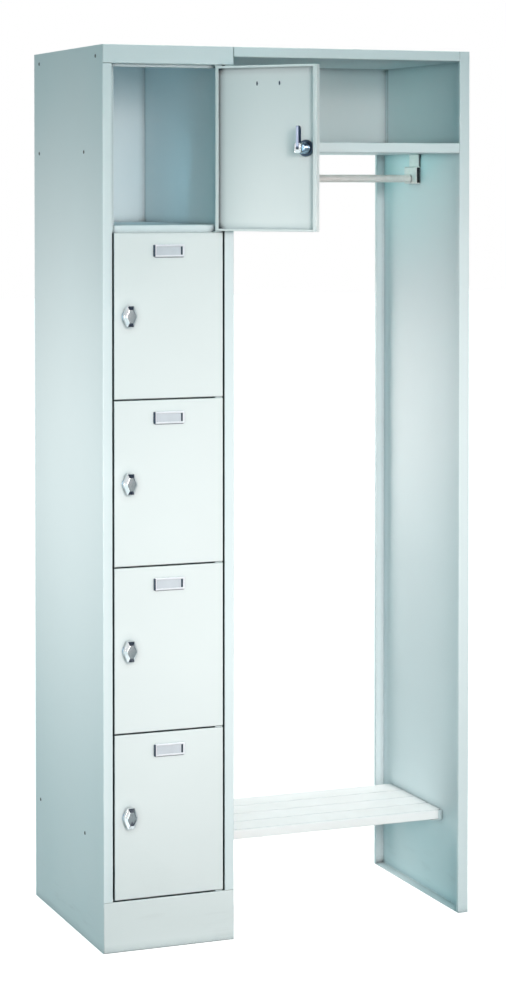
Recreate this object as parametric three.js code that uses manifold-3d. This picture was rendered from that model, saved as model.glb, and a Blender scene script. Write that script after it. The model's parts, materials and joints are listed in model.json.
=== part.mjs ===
// Mudroom locker unit: a column of five small lockers beside an open coat bay.
// The bay has a hat shelf with a coat rail under it and a slatted shoe bench.
// All lengths are millimetres. X runs across, Y from the front face to the back, Z up.
import * as THREE from 'three';
import { mergeVertices } from 'three/addons/utils/BufferGeometryUtils.js';
import Module from 'manifold-3d';

const wasm = await Module();
wasm.setup();

// The whole unit
const HEIGHT = 1950;
const COLUMN_WIDTH = 300;
const COLUMN_DEPTH = 500;
const BAY_WIDTH = 570;
const BAY_DEPTH = 460;
const PLINTH_HEIGHT = 110;
const FASCIA_HEIGHT = 40;
const DOOR_COUNT = 5;
const OPEN_DOOR_ANGLE = THREE.MathUtils.degToRad(129);

// Sheet steel, its folds, and the gap kept between pieces that rest on each other
const SHEET = 1;
const BEND_RADIUS = 1;
const BEND_STEPS = 2;
const FIT = 0.3;
const OVERRUN = 5;
const ROUND_SIDES = 24;
const SMALL_SIDES = 16;

// Side walls of the column, each folded forward into a front post with a door rebate.
// The one on the hinge side is closed into a box, which carries the bay.
const POST_FACE = 21.5;
const REBATE_DEPTH = 17;
const LIP_WIDTH = 9.5;
const LIP_RETURN = 10;
const BACK_FLANGE = 15;
const FOOT_FLANGE = 20;
const HEAD_FLANGE = 12;
const JOINING_HOLE_RADIUS = 3.5;
const REAR_HOLE_INSET = 41;
const TOP_HOLE_INSET = 48;
const SHELF_HOLE_INSET = 129;
const TOP_HOLE_DROP = 23;
const BENCH_HOLE_RISE = 29;

// Trays that divide the column, the head rail and the plinth
const TRAY_FRONT = 30;
const TRAY_FLANGE = 12;
const HEAD_LIP = 6.5;
const CAP_BACK_FLANGE = 20;

// Doors: shallow pans that swing on upright pins near their right-hand front corners
const DOOR_GAP = 3;
const SIDE_GAP = 4;
const DOOR_DEPTH = 15;
const DOOR_LIP = 9;
const DOOR_END_LIP = 5;
const PIVOT_INSET = 6;
const PIVOT_DEPTH = 4.2;
const PIN_RADIUS = 2;
const PIN_REACH = 10;
const PIN_CHAMFER = 0.6;
const LUG_THICKNESS = 2;
const LUG_WIDTH = 18;
const LUG_NOSE = 5.5;
const LUG_FRONT = 1;
const LUG_RADIUS = 4;

// Card holder: a bezel in front of a back plate, open at one end for the card
const HOLDER_WIDTH = 70;
const HOLDER_HEIGHT = 27;
const HOLDER_DEPTH = 3.5;
const HOLDER_DROP = 38.5;
const HOLDER_BEZEL = 1.2;
const HOLDER_RAIL = 4;
const HOLDER_END = 5;
const HOLDER_POCKET_RAIL = 2;
const HOLDER_RADIUS = 1.5;
const STUD_RADIUS = 2;
const STUD_SPACING = 55;
const STUD_TAIL = 1.2;

// Turn lock: a faceted knob on a shaft through a round body, with a cam arm inside
const LOCK_INSET = 32;
const BODY_RADIUS = 12;
const BODY_FLANGE_RADIUS = 15;
const BODY_FLANGE = 2.5;
const BODY_LENGTH = 28;
const BODY_CHAMFER = 1;
const SHAFT_RADIUS = 4;
const SHAFT_GRIP = 8;
const NUT_RADIUS = 18;
const NUT_THICKNESS = 5;
const KNOB_HALF_WIDTH = 15;
const KNOB_HALF_HEIGHT = 22.5;
const KNOB_NOSE = 5.5;
const KNOB_WAIST = 2.5;
const KNOB_DEPTH = 18;
const KNOB_BEVEL = 3;
const KNOB_BEVEL_STEPS = 2;
const CAM_LENGTH = 52;
const CAM_DEPTH = 12;
const CAM_WIDTH = 8;
const CAM_TIP_RADIUS = 8;
const CAM_HUB_WIDTH = 15;
const CAM_HUB_HEIGHT = 22;
const CAM_HUB_RADIUS = 4;
const CAM_SCREW_RADIUS = 4.5;
const CAM_SCREW_HEAD = 1.6;
const CAM_SOCKET_RADIUS = 2.6;
const CAM_SOCKET_DEPTH = 3;
const SOCKET_SIDES = 6;

// Coat bay: end panel, top and hat shelf as closed panels, back of the hat space
const END_FLANGE = 25;
const END_LIP = 10;
const PANEL_THICKNESS = 22;
const HAT_SPACE = 184;
const HAT_BACK_FLANGE = 12;

// Coat rail and the two brackets that hold it under the hat shelf
const RAIL_RADIUS = 9;
const RAIL_WALL = 1.2;
const RAIL_DROP = 57;
const RAIL_FROM_BACK = 173;
const BRACKET_SHEET = 2;
const BRACKET_REACH = 11;
const BRACKET_HEIGHT = 40;
const BRACKET_DEPTH = 65;
const BRACKET_BELOW_RAIL = 12;
const STRAP_THICKNESS = 4;
const STRAP_WIDTH = 46;
const STRAP_INSET = 3;
const RAIL_END_GAP = 3;

// Shoe bench: front rail and folded slats on two ledge brackets
const BENCH_HEIGHT = 203;
const BENCH_FROM_FRONT = 131;
const BENCH_FROM_BACK = 45;
const BENCH_RAIL_DEPTH = 8;
const SLAT_COUNT = 4;
const SLAT_GAP = 3;
const SLAT_HEIGHT = 20;
const LEDGE_SHEET = 1.5;
const LEDGE_WIDTH = 30;
const LEDGE_END_WIDTH = 10;

// Sizes worked out from the ones above
const TOTAL_WIDTH = COLUMN_WIDTH + BAY_WIDTH;
const OUTER_BEND = BEND_RADIUS + SHEET;
const WALL_CLEAR = SHEET + FIT;
const LIP_EDGE = POST_FACE + LIP_WIDTH;
const LIP_BACK = REBATE_DEPTH + LIP_RETURN;
const FASCIA_BOTTOM = HEIGHT - FASCIA_HEIGHT;
const DOOR_PITCH = (FASCIA_BOTTOM - PLINTH_HEIGHT - DOOR_GAP) / DOOR_COUNT;
const DOOR_HEIGHT = DOOR_PITCH - DOOR_GAP;
const DOOR_WIDTH = COLUMN_WIDTH - (POST_FACE + SIDE_GAP) * 2;
const DOOR_LEFT = POST_FACE + SIDE_GAP;
const PIVOT_X = DOOR_LEFT + DOOR_WIDTH - PIVOT_INSET;
const BACK_PANEL_FRONT = COLUMN_DEPTH - SHEET * 2 - FIT;
const INNER_SKIN_BACK = BACK_PANEL_FRONT - SHEET - FIT * 2;
const BODY_BACK = SHEET + BODY_LENGTH;
const CAM_FRONT = BODY_BACK + FIT;
const BAY_LEFT = COLUMN_WIDTH + FIT;
const BAY_RIGHT = TOTAL_WIDTH - SHEET - FIT;
const END_LIP_X = TOTAL_WIDTH - END_FLANGE;
const HAT_SHELF_TOP = HEIGHT - PANEL_THICKNESS - HAT_SPACE;
const HAT_SHELF_BOTTOM = HAT_SHELF_TOP - PANEL_THICKNESS;
const RAIL_HEIGHT = HAT_SHELF_BOTTOM - RAIL_DROP;
const RAIL_FROM_FRONT = BAY_DEPTH - RAIL_FROM_BACK;
const BENCH_BOTTOM = BENCH_HEIGHT - SLAT_HEIGHT;
const BENCH_DEPTH = BAY_DEPTH - BENCH_FROM_FRONT - BENCH_FROM_BACK;
const SLAT_PITCH = (BENCH_DEPTH - BENCH_RAIL_DEPTH) / SLAT_COUNT;

// The gaps over, between and under the doors are counted from the top, starting at 0
const gapHeight = index => FASCIA_BOTTOM - DOOR_GAP / 2 - index * DOOR_PITCH;

// Paints and metals
const metal = (color, roughness, metalness) => new THREE.MeshStandardMaterial({
  color, roughness, metalness, flatShading: true,
});
const casePaint = metal(0xd5dedd, 0.5, 0.1);
const doorPaint = metal(0xe2e8e7, 0.5, 0.1);
const benchPaint = metal(0xeceff0, 0.45, 0.1);
const chrome = metal(0xc9ced4, 0.15, 1);
const darkSteel = metal(0x6b757c, 0.4, 0.9);
const railSteel = metal(0xc6c4c2, 0.3, 0.8);

// A closed mesh as a solid that can be cut and joined, and back again
function solidOf(geometry) {
  const bare = geometry.clone();
  bare.deleteAttribute('normal');
  bare.deleteAttribute('uv');
  const merged = mergeVertices(bare);
  return new wasm.Manifold(new wasm.Mesh({
    numProp: 3,
    vertProperties: new Float32Array(merged.attributes.position.array),
    triVerts: new Uint32Array(merged.index.array),
  }));
}

function geometryOf(solid) {
  const { vertProperties, triVerts } = solid.getMesh();
  const geometry = new THREE.BufferGeometry();
  geometry.setAttribute('position', new THREE.BufferAttribute(vertProperties, 3));
  geometry.setIndex(new THREE.BufferAttribute(triVerts, 1));
  return geometry;
}

const combine = (operation, first, others) => geometryOf(
  others.reduce((solid, other) => solid[operation](solidOf(other)), solidOf(first)),
);
const join = (first, ...others) => combine('add', first, others);
const cut = (first, ...others) => combine('subtract', first, others);
const common = (first, ...others) => combine('intersect', first, others);

// An outline and its holes drawn out into a prism along one axis, from one place to another
const X_AXIS = new THREE.Vector3(1, 0, 0);
const Y_AXIS = new THREE.Vector3(0, 1, 0);
const Z_AXIS = new THREE.Vector3(0, 0, 1);
const vectors = points => points.map(([x, y]) => new THREE.Vector2(x, y));

function prism(points, length, holes = []) {
  const shape = new THREE.Shape(vectors(points));
  shape.holes = holes.map(hole => new THREE.Path(vectors(hole)));
  return new THREE.ExtrudeGeometry(shape, { depth: length, bevelEnabled: false });
}

// Points are [y, z]
function alongX(points, from, to, holes) {
  const turn = new THREE.Matrix4().makeBasis(Y_AXIS, Z_AXIS, X_AXIS);
  return prism(points, to - from, holes).applyMatrix4(turn).translate(from, 0, 0);
}

// Points are [x, z]
function alongY(points, from, to, holes) {
  const turn = new THREE.Matrix4().makeBasis(X_AXIS, Z_AXIS, Y_AXIS.clone().negate());
  return prism(points, to - from, holes).applyMatrix4(turn).translate(0, to, 0);
}

// Points are [x, y]
function alongZ(points, from, to, holes) {
  return prism(points, to - from, holes).translate(0, 0, from);
}

function block([left, right], [front, back], [bottom, top]) {
  const geometry = new THREE.BoxGeometry(right - left, back - front, top - bottom);
  return geometry.translate((left + right) / 2, (front + back) / 2, (bottom + top) / 2);
}

// A round bar along Y, which rotateX or rotateZ then stands up or lays across
function rod(radius, from, to, sides = ROUND_SIDES) {
  return new THREE.CylinderGeometry(radius, radius, to - from, sides)
    .translate(0, (from + to) / 2, 0);
}
const upright = geometry => geometry.rotateX(Math.PI / 2);
const across = geometry => geometry.rotateZ(-Math.PI / 2);

const circle = (radius, sides) => Array.from({ length: sides }, (_, side) => {
  const angle = (side / sides) * Math.PI * 2;
  return [radius * Math.cos(angle), radius * Math.sin(angle)];
});

// A rectangle from the origin whose corners, counted anticlockwise, have their own radii
function roundedRectangle(width, height, radii) {
  return [[0, 0], [width, 0], [width, height], [0, height]].flatMap(([x, y], corner) => {
    const radius = radii[corner];
    if (radius === 0) {
      return [[x, y]];
    }
    const centreX = x === 0 ? radius : width - radius;
    const centreY = y === 0 ? radius : height - radius;
    return Array.from({ length: BEND_STEPS + 1 }, (_, step) => {
      const angle = Math.PI + (corner + step / BEND_STEPS) * (Math.PI / 2);
      return [centreX + radius * Math.cos(angle), centreY + radius * Math.sin(angle)];
    });
  });
}
const allCorners = radius => [radius, radius, radius, radius];
const shifted = (points, dx, dy) => points.map(([x, y]) => [x + dx, y + dy]);

// The section of a folded sheet: the path is the skin on the right-hand side of the walk,
// the sheet lies to its left, and each fold is an arc with one inside radius
function foldedSheet(path, sheet = SHEET) {
  const skin = [];
  const inside = [];
  const step = ([x, y], [goX, goY]) => {
    skin.push([x, y]);
    inside.push([x - goY * sheet, y + goX * sheet]);
  };
  const heading = ([x, y], [nextX, nextY]) => {
    const length = Math.hypot(nextX - x, nextY - y);
    return [(nextX - x) / length, (nextY - y) / length];
  };
  path.forEach((corner, index) => {
    if (index === 0) {
      step(corner, heading(corner, path[index + 1]));
      return;
    }
    const arriving = heading(path[index - 1], corner);
    if (index === path.length - 1) {
      step(corner, arriving);
      return;
    }
    const leaving = heading(corner, path[index + 1]);
    const cross = arriving[0] * leaving[1] - arriving[1] * leaving[0];
    const turn = Math.atan2(cross, arriving[0] * leaving[0] + arriving[1] * leaving[1]);
    const side = Math.sign(turn);
    const radius = BEND_RADIUS + (side > 0 ? sheet : 0);
    const setBack = radius * Math.tan(Math.abs(turn) / 2);
    const centreX = corner[0] - arriving[0] * setBack - arriving[1] * radius * side;
    const centreY = corner[1] - arriving[1] * setBack + arriving[0] * radius * side;
    for (let count = 0; count <= BEND_STEPS; count += 1) {
      const angle = Math.atan2(arriving[1], arriving[0]) + (turn * count) / BEND_STEPS;
      const along = [Math.cos(angle), Math.sin(angle)];
      step([centreX + along[1] * radius * side, centreY - along[0] * radius * side], along);
    }
  });
  return [...skin, ...inside.reverse()];
}

// A pan folded from one sheet: the skin faces forward, flanges run back on four sides
// and their edges turn in as lips. A lip of 0 leaves that flange plain.
function foldedPan(width, height, depth, { left = 0, right = 0, bottom = 0, top = 0 } = {}) {
  const shell = inset => {
    const radius = inset === 0 ? OUTER_BEND : BEND_RADIUS;
    const behind = lip => (lip === 0 ? 0 : radius);
    const wide = width - inset * 2;
    const tall = height - inset * 2;
    const deep = depth - inset * 2;
    const plan = roundedRectangle(wide, deep, [radius, radius, behind(right), behind(left)]);
    const side = roundedRectangle(deep, tall, [radius, behind(bottom), behind(top), radius]);
    return common(alongZ(plan, 0, tall), alongX(side, 0, wide)).translate(inset, inset, inset);
  };
  const edge = lip => Math.max(lip, SHEET);
  const mouth = block(
    [edge(left), width - edge(right)],
    [depth - OUTER_BEND, depth + OVERRUN],
    [edge(bottom), height - edge(top)],
  );
  return cut(shell(0), shell(SHEET), mouth);
}

function mirrored(geometry) {
  const copy = geometry.clone().scale(-1, 1, 1);
  const corners = copy.index.array;
  for (let first = 0; first < corners.length; first += 3) {
    [corners[first], corners[first + 1]] = [corners[first + 1], corners[first]];
  }
  return copy;
}

function mesh(name, geometry, material, x = 0, y = 0, z = 0) {
  const piece = new THREE.Mesh(geometry, material);
  piece.name = name;
  piece.position.set(x, y, z);
  return piece;
}

// Left-hand side wall: back flange, wall, post face, rebate, lip and return in one sheet.
// The post stops under the fascia and over the plinth, which both fit between the walls.
// A return that runs on to the back closes the wall into a box with an inner skin, which
// stops under the lid and over the plinth.
function sideWall(returnEnd) {
  const section = foldedSheet([
    [BACK_FLANGE, COLUMN_DEPTH],
    [0, COLUMN_DEPTH],
    [0, 0],
    [POST_FACE, 0],
    [POST_FACE, REBATE_DEPTH],
    [LIP_EDGE, REBATE_DEPTH],
    [LIP_EDGE, returnEnd],
  ]);
  const behindSkin = [SHEET, LIP_EDGE + OVERRUN];
  const postRun = [-OVERRUN, LIP_BACK + OVERRUN];
  const returnRun = [-OVERRUN, INNER_SKIN_BACK + FIT];
  const headTop = HEIGHT - SHEET - FIT;
  const wall = cut(
    alongZ(section, 0, HEIGHT),
    block(behindSkin, postRun, [FASCIA_BOTTOM - FIT, HEIGHT + OVERRUN]),
    block(behindSkin, returnRun, [headTop, HEIGHT + OVERRUN]),
    block(behindSkin, returnRun, [-OVERRUN, PLINTH_HEIGHT + FIT]),
  );
  const flangeRun = [LIP_BACK + OVERRUN, BACK_PANEL_FRONT - FIT];
  const folded = join(
    wall,
    block([0, FOOT_FLANGE], flangeRun, [0, SHEET]),
    block([0, HEAD_FLANGE], [flangeRun[0], flangeRun[1] - OVERRUN], [headTop - SHEET, headTop]),
  );
  const rear = COLUMN_DEPTH - REAR_HOLE_INSET;
  const benchHole = BENCH_HEIGHT + BENCH_HOLE_RISE;
  const places = [
    [TOP_HOLE_INSET, HEIGHT - TOP_HOLE_DROP],
    [rear, HEIGHT - TOP_HOLE_DROP],
    [SHELF_HOLE_INSET, HAT_SHELF_BOTTOM],
    [rear, HAT_SHELF_BOTTOM],
    [SHELF_HOLE_INSET, benchHole],
    [rear, benchHole],
  ];
  const holes = places.map(([y, z]) => (
    across(rod(JOINING_HOLE_RADIUS, -OVERRUN, OVERRUN, SMALL_SIDES)).translate(0, y, z)
  ));
  return cut(folded, ...holes);
}

// The tongue that stands forward between two doors and holds their common pivot pin
function pivotLug() {
  const left = PIVOT_X + LUG_NOSE - LUG_WIDTH;
  const back = REBATE_DEPTH - FIT;
  const outline = roundedRectangle(LUG_WIDTH, back - LUG_FRONT, [LUG_RADIUS, LUG_RADIUS, 0, 0]);
  const low = -LUG_THICKNESS / 2;
  const high = LUG_THICKNESS / 2;
  const root = [left, COLUMN_WIDTH - LIP_EDGE - FIT - OUTER_BEND];
  return cut(
    join(
      alongZ(shifted(outline, left, LUG_FRONT), low, high),
      block(root, [back - SHEET, REBATE_DEPTH + SHEET / 2], [low, high]),
    ),
    upright(rod(PIN_RADIUS + FIT, -OVERRUN, OVERRUN, SMALL_SIDES))
      .translate(PIVOT_X, PIVOT_DEPTH, 0),
  );
}

// A tray between two lockers, seen from the gap it fills: the deck is above the gap and
// the front flange stops the doors. It runs from the left wall, where it is notched round
// the post, to the inner skin of the right wall.
function lockerTray(frontFlange) {
  const width = COLUMN_WIDTH - WALL_CLEAR - LIP_EDGE - FIT;
  const depth = BACK_PANEL_FRONT - FIT - REBATE_DEPTH;
  const notch = LIP_EDGE + FIT - WALL_CLEAR;
  const tray = cut(
    foldedPan(width, depth, frontFlange).rotateX(-Math.PI / 2),
    block([-OVERRUN, width + OVERRUN], [OUTER_BEND, depth + OVERRUN],
      [-frontFlange - OVERRUN, -TRAY_FLANGE]),
    block([-OVERRUN, notch], [-OVERRUN, LIP_RETURN + FIT], [-frontFlange - OVERRUN, OVERRUN]),
  );
  return join(tray.translate(WALL_CLEAR, REBATE_DEPTH, TRAY_FRONT / 2), pivotLug());
}

// Lid, fascia and head rail of the column, folded from one sheet
function topCap() {
  const back = BACK_PANEL_FRONT - FIT;
  const section = foldedSheet([
    [back, HEIGHT - CAP_BACK_FLANGE],
    [back, HEIGHT],
    [0, HEIGHT],
    [0, FASCIA_BOTTOM],
    [REBATE_DEPTH, FASCIA_BOTTOM],
    [REBATE_DEPTH, FASCIA_BOTTOM - HEAD_LIP],
  ]);
  const lipZone = [
    [REBATE_DEPTH - OUTER_BEND, REBATE_DEPTH + OUTER_BEND],
    [FASCIA_BOTTOM - HEAD_LIP - OVERRUN, FASCIA_BOTTOM],
  ];
  const cap = cut(
    alongX(section, WALL_CLEAR, COLUMN_WIDTH - WALL_CLEAR),
    block([0, LIP_EDGE + FIT], ...lipZone),
    block([COLUMN_WIDTH - LIP_EDGE - FIT, COLUMN_WIDTH], ...lipZone),
  );
  return join(cap, pivotLug().translate(0, 0, gapHeight(0)));
}

function plinthPanel() {
  const section = foldedSheet([
    [REBATE_DEPTH, PLINTH_HEIGHT],
    [0, PLINTH_HEIGHT],
    [0, 0],
    [REBATE_DEPTH, 0],
  ]);
  return alongX(section, WALL_CLEAR, COLUMN_WIDTH - WALL_CLEAR);
}

function backPanel() {
  return block(
    [OUTER_BEND, COLUMN_WIDTH - OUTER_BEND],
    [BACK_PANEL_FRONT, BACK_PANEL_FRONT + SHEET],
    [0, HEIGHT - FIT],
  );
}

// An upright pin with chamfered ends, from one height to another
function pivotPin(from, to) {
  const outline = [
    [0, from],
    [PIN_RADIUS - PIN_CHAMFER, from],
    [PIN_RADIUS, from + PIN_CHAMFER],
    [PIN_RADIUS, to - PIN_CHAMFER],
    [PIN_RADIUS - PIN_CHAMFER, to],
    [0, to],
  ];
  return upright(new THREE.LatheGeometry(vectors(outline), SMALL_SIDES));
}

function columnMeshes() {
  const floorFlange = gapHeight(DOOR_COUNT) + TRAY_FRONT / 2 - PLINTH_HEIGHT - FIT;
  const pieces = [
    mesh('side_wall_left', sideWall(LIP_BACK), casePaint),
    mesh('side_wall_right', mirrored(sideWall(INNER_SKIN_BACK)), casePaint, COLUMN_WIDTH),
    mesh('back_panel', backPanel(), casePaint),
    mesh('top_cap', topCap(), casePaint),
    mesh('plinth', plinthPanel(), doorPaint),
    mesh('floor_tray', lockerTray(floorFlange), casePaint, 0, 0, gapHeight(DOOR_COUNT)),
  ];
  for (let gap = 1; gap < DOOR_COUNT; gap += 1) {
    pieces.push(mesh(`shelf_${gap}`, lockerTray(TRAY_FRONT), casePaint, 0, 0, gapHeight(gap)));
  }
  for (let gap = 0; gap <= DOOR_COUNT; gap += 1) {
    const low = gap === DOOR_COUNT ? -LUG_THICKNESS / 2 : -PIN_REACH;
    const high = gap === 0 ? LUG_THICKNESS / 2 : PIN_REACH;
    const pin = pivotPin(low, high);
    pieces.push(
      mesh(`pivot_pin_${gap + 1}`, pin, darkSteel, PIVOT_X, PIVOT_DEPTH, gapHeight(gap)),
    );
  }
  return pieces;
}

// A door pan with holes for the lock, the card holder's studs and the two pivot pins
function doorPanel() {
  const pan = foldedPan(DOOR_WIDTH, DOOR_HEIGHT, DOOR_DEPTH, {
    left: DOOR_LIP, right: DOOR_LIP, bottom: DOOR_END_LIP, top: DOOR_END_LIP,
  });
  const studs = [-1, 1].map(side => (
    rod(STUD_RADIUS + FIT, -OVERRUN, OVERRUN, SMALL_SIDES).translate(
      DOOR_WIDTH / 2 + (side * STUD_SPACING) / 2, 0, DOOR_HEIGHT - HOLDER_DROP,
    )
  ));
  return cut(
    pan,
    rod(BODY_RADIUS + FIT, -OVERRUN, OVERRUN).translate(LOCK_INSET, 0, DOOR_HEIGHT / 2),
    upright(rod(PIN_RADIUS + FIT, -OVERRUN, DOOR_HEIGHT + OVERRUN, SMALL_SIDES))
      .translate(DOOR_WIDTH - PIVOT_INSET, PIVOT_DEPTH, 0),
    ...studs,
  );
}

// The card holder, centred on its own face: a window in the bezel over a card pocket
// that opens at the right-hand end, and two studs that pass through the door
function cardHolder() {
  const plate = shifted(
    roundedRectangle(HOLDER_WIDTH, HOLDER_HEIGHT, allCorners(HOLDER_RADIUS)),
    -HOLDER_WIDTH / 2, -HOLDER_HEIGHT / 2,
  );
  const front = -FIT - HOLDER_DEPTH;
  const halfWindow = HOLDER_WIDTH / 2 - HOLDER_END;
  const windowTop = HOLDER_HEIGHT / 2 - HOLDER_RAIL;
  const pocketTop = HOLDER_HEIGHT / 2 - HOLDER_POCKET_RAIL;
  const pocket = [front + HOLDER_BEZEL, -FIT - HOLDER_BEZEL];
  const frame = cut(
    alongY(plate, front, -FIT),
    block([-halfWindow, halfWindow], [front - OVERRUN, pocket[1]], [-windowTop, windowTop]),
    block([-halfWindow, HOLDER_WIDTH / 2 + OVERRUN], pocket, [-pocketTop, pocketTop]),
  );
  const studs = [-1, 1].map(side => (
    rod(STUD_RADIUS, pocket[1] + FIT, SHEET + STUD_TAIL, SMALL_SIDES)
      .translate((side * STUD_SPACING) / 2, 0, 0)
  ));
  return join(frame, ...studs);
}

// Lock body: an outer flange and a barrel through the door, bored for the knob's shaft
function lockBody() {
  const bore = SHAFT_RADIUS + FIT;
  const front = -FIT - BODY_FLANGE;
  const outline = [
    [bore, front],
    [BODY_FLANGE_RADIUS - BODY_CHAMFER, front],
    [BODY_FLANGE_RADIUS, front + BODY_CHAMFER],
    [BODY_FLANGE_RADIUS, -FIT],
    [BODY_RADIUS, -FIT],
    [BODY_RADIUS, BODY_BACK - BODY_CHAMFER],
    [BODY_RADIUS - BODY_CHAMFER, BODY_BACK],
    [bore, BODY_BACK],
    [bore, front],
  ];
  return new THREE.LatheGeometry(vectors(outline), ROUND_SIDES);
}

// The round nut that clamps the lock body from inside the door
function lockNut() {
  const front = SHEET + FIT;
  const back = front + NUT_THICKNESS;
  const outline = [
    [BODY_RADIUS + FIT, front],
    [NUT_RADIUS, front],
    [NUT_RADIUS, back - BODY_CHAMFER],
    [NUT_RADIUS - BODY_CHAMFER, back],
    [BODY_RADIUS + FIT, back],
    [BODY_RADIUS + FIT, front],
  ];
  return new THREE.LatheGeometry(vectors(outline), ROUND_SIDES);
}

// The knob: a long eight-sided grip with bevelled edges, and the shaft behind it
function turnKnob() {
  const wide = KNOB_HALF_WIDTH - KNOB_BEVEL;
  const tall = KNOB_HALF_HEIGHT - KNOB_BEVEL;
  const grip = new THREE.Shape(vectors([
    [-KNOB_NOSE, tall],
    [-wide, KNOB_WAIST],
    [-wide, -KNOB_WAIST],
    [-KNOB_NOSE, -tall],
    [KNOB_NOSE, -tall],
    [wide, -KNOB_WAIST],
    [wide, KNOB_WAIST],
    [KNOB_NOSE, tall],
  ]));
  const solid = new THREE.ExtrudeGeometry(grip, {
    depth: KNOB_DEPTH - KNOB_BEVEL * 2,
    bevelThickness: KNOB_BEVEL,
    bevelSize: KNOB_BEVEL,
    bevelSegments: KNOB_BEVEL_STEPS,
  });
  const back = -BODY_FLANGE - FIT * 2;
  const front = back - KNOB_DEPTH;
  return join(
    upright(solid).translate(0, back - KNOB_BEVEL, 0),
    rod(SHAFT_RADIUS, front + KNOB_BEVEL, CAM_FRONT + SHAFT_GRIP, SMALL_SIDES),
  );
}

// The cam arm: a deep bar with a rounded tip, a hub that fits over the shaft's end,
// and the socket screw that holds it
function camArm() {
  const back = CAM_FRONT + CAM_DEPTH;
  const bar = roundedRectangle(CAM_DEPTH, CAM_LENGTH, [0, 0, 0, CAM_TIP_RADIUS]);
  const hub = roundedRectangle(CAM_HUB_WIDTH, CAM_HUB_HEIGHT, allCorners(CAM_HUB_RADIUS));
  const screwBack = back + CAM_SCREW_HEAD;
  return cut(
    join(
      alongX(shifted(bar, CAM_FRONT, 0), -CAM_WIDTH / 2, CAM_WIDTH / 2),
      alongY(shifted(hub, -CAM_HUB_WIDTH / 2, -CAM_HUB_HEIGHT / 2), CAM_FRONT, back),
      rod(CAM_SCREW_RADIUS, back - SHEET, screwBack, SMALL_SIDES),
    ),
    rod(SHAFT_RADIUS + FIT, CAM_FRONT - OVERRUN, CAM_FRONT + SHAFT_GRIP + FIT, SMALL_SIDES),
    rod(CAM_SOCKET_RADIUS, screwBack - CAM_SOCKET_DEPTH, screwBack + OVERRUN, SOCKET_SIDES),
  );
}

// One door with all that rides on it, in a group that turns about the pivot pins
function doorGroup(number, angle) {
  const bottom = gapHeight(number) + DOOR_GAP / 2;
  const hinge = new THREE.Group();
  hinge.position.set(PIVOT_X, PIVOT_DEPTH, bottom);
  hinge.rotation.z = angle;
  const leaf = new THREE.Group();
  leaf.position.set(DOOR_LEFT - PIVOT_X, -PIVOT_DEPTH, 0);
  const lockPlace = [LOCK_INSET, 0, DOOR_HEIGHT / 2];
  leaf.add(
    mesh(`door_${number}`, doorPanel(), doorPaint),
    mesh(`card_holder_${number}`, cardHolder(), chrome,
      DOOR_WIDTH / 2, 0, DOOR_HEIGHT - HOLDER_DROP),
    mesh(`lock_body_${number}`, lockBody(), chrome, ...lockPlace),
    mesh(`lock_nut_${number}`, lockNut(), darkSteel, ...lockPlace),
    mesh(`turn_knob_${number}`, turnKnob(), chrome, ...lockPlace),
    mesh(`cam_arm_${number}`, camArm(), chrome, ...lockPlace),
  );
  return hinge.add(leaf);
}

// A closed panel of the bay, hollow inside, whose right-hand end is notched
// to pass behind the end panel's front and back lips
function bayPanel(topIsUnderFlange) {
  const length = BAY_RIGHT - BAY_LEFT;
  const outline = roundedRectangle(BAY_DEPTH, PANEL_THICKNESS, allCorners(OUTER_BEND));
  const hollow = shifted(
    roundedRectangle(
      BAY_DEPTH - SHEET * 2, PANEL_THICKNESS - SHEET * 2, allCorners(BEND_RADIUS),
    ),
    SHEET, SHEET,
  );
  const notch = [END_LIP_X - FIT - BAY_LEFT, length + OVERRUN];
  const allHeights = [-OVERRUN, PANEL_THICKNESS + OVERRUN];
  const cuts = [
    block(notch, [-OVERRUN, END_LIP + FIT], allHeights),
    block(notch, [BAY_DEPTH - END_LIP - FIT, BAY_DEPTH + OVERRUN], allHeights),
  ];
  if (topIsUnderFlange) {
    const under = [PANEL_THICKNESS - SHEET - FIT, PANEL_THICKNESS + OVERRUN];
    cuts.push(block(notch, [-OVERRUN, BAY_DEPTH + OVERRUN], under));
  }
  return cut(alongX(outline, 0, length, [hollow]), ...cuts);
}

// The bay's end panel stands on the floor, its flanges turned in towards the column
function endPanel() {
  const panel = mesh(
    'bay_end_panel',
    foldedPan(BAY_DEPTH, HEIGHT, END_FLANGE, { left: END_LIP, right: END_LIP }),
    casePaint,
    TOTAL_WIDTH,
  );
  panel.rotation.z = Math.PI / 2;
  return panel;
}

// The back of the hat space is a shallow pan whose skin faces the wall behind the unit
function hatBackPanel() {
  const height = HEIGHT - PANEL_THICKNESS - HAT_SHELF_TOP - FIT * 2;
  const panel = mesh(
    'hat_back_panel',
    foldedPan(BAY_RIGHT - BAY_LEFT, height, HAT_BACK_FLANGE),
    casePaint,
    BAY_RIGHT, BAY_DEPTH - END_LIP - FIT, HAT_SHELF_TOP + FIT,
  );
  panel.rotation.z = Math.PI;
  return panel;
}

// The rail's left-hand bracket: a channel against the wall with its front end open,
// a hole for the rail's end, and a strap up to the hat shelf
function railBracket() {
  const section = foldedSheet([
    [0, 0],
    [BRACKET_REACH, 0],
    [BRACKET_REACH, BRACKET_HEIGHT],
    [0, BRACKET_HEIGHT],
  ], BRACKET_SHEET);
  const strapTop = HAT_SHELF_BOTTOM - FIT - RAIL_HEIGHT + BRACKET_BELOW_RAIL;
  return cut(
    join(
      alongY(section, 0, BRACKET_DEPTH),
      block([STRAP_INSET, STRAP_INSET + STRAP_THICKNESS], [0, STRAP_WIDTH],
        [BRACKET_HEIGHT - BRACKET_SHEET, strapTop]),
    ),
    across(rod(RAIL_RADIUS + FIT, BRACKET_REACH - OVERRUN, BRACKET_REACH + OVERRUN))
      .translate(0, BRACKET_DEPTH / 2, BRACKET_BELOW_RAIL),
  );
}

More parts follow.
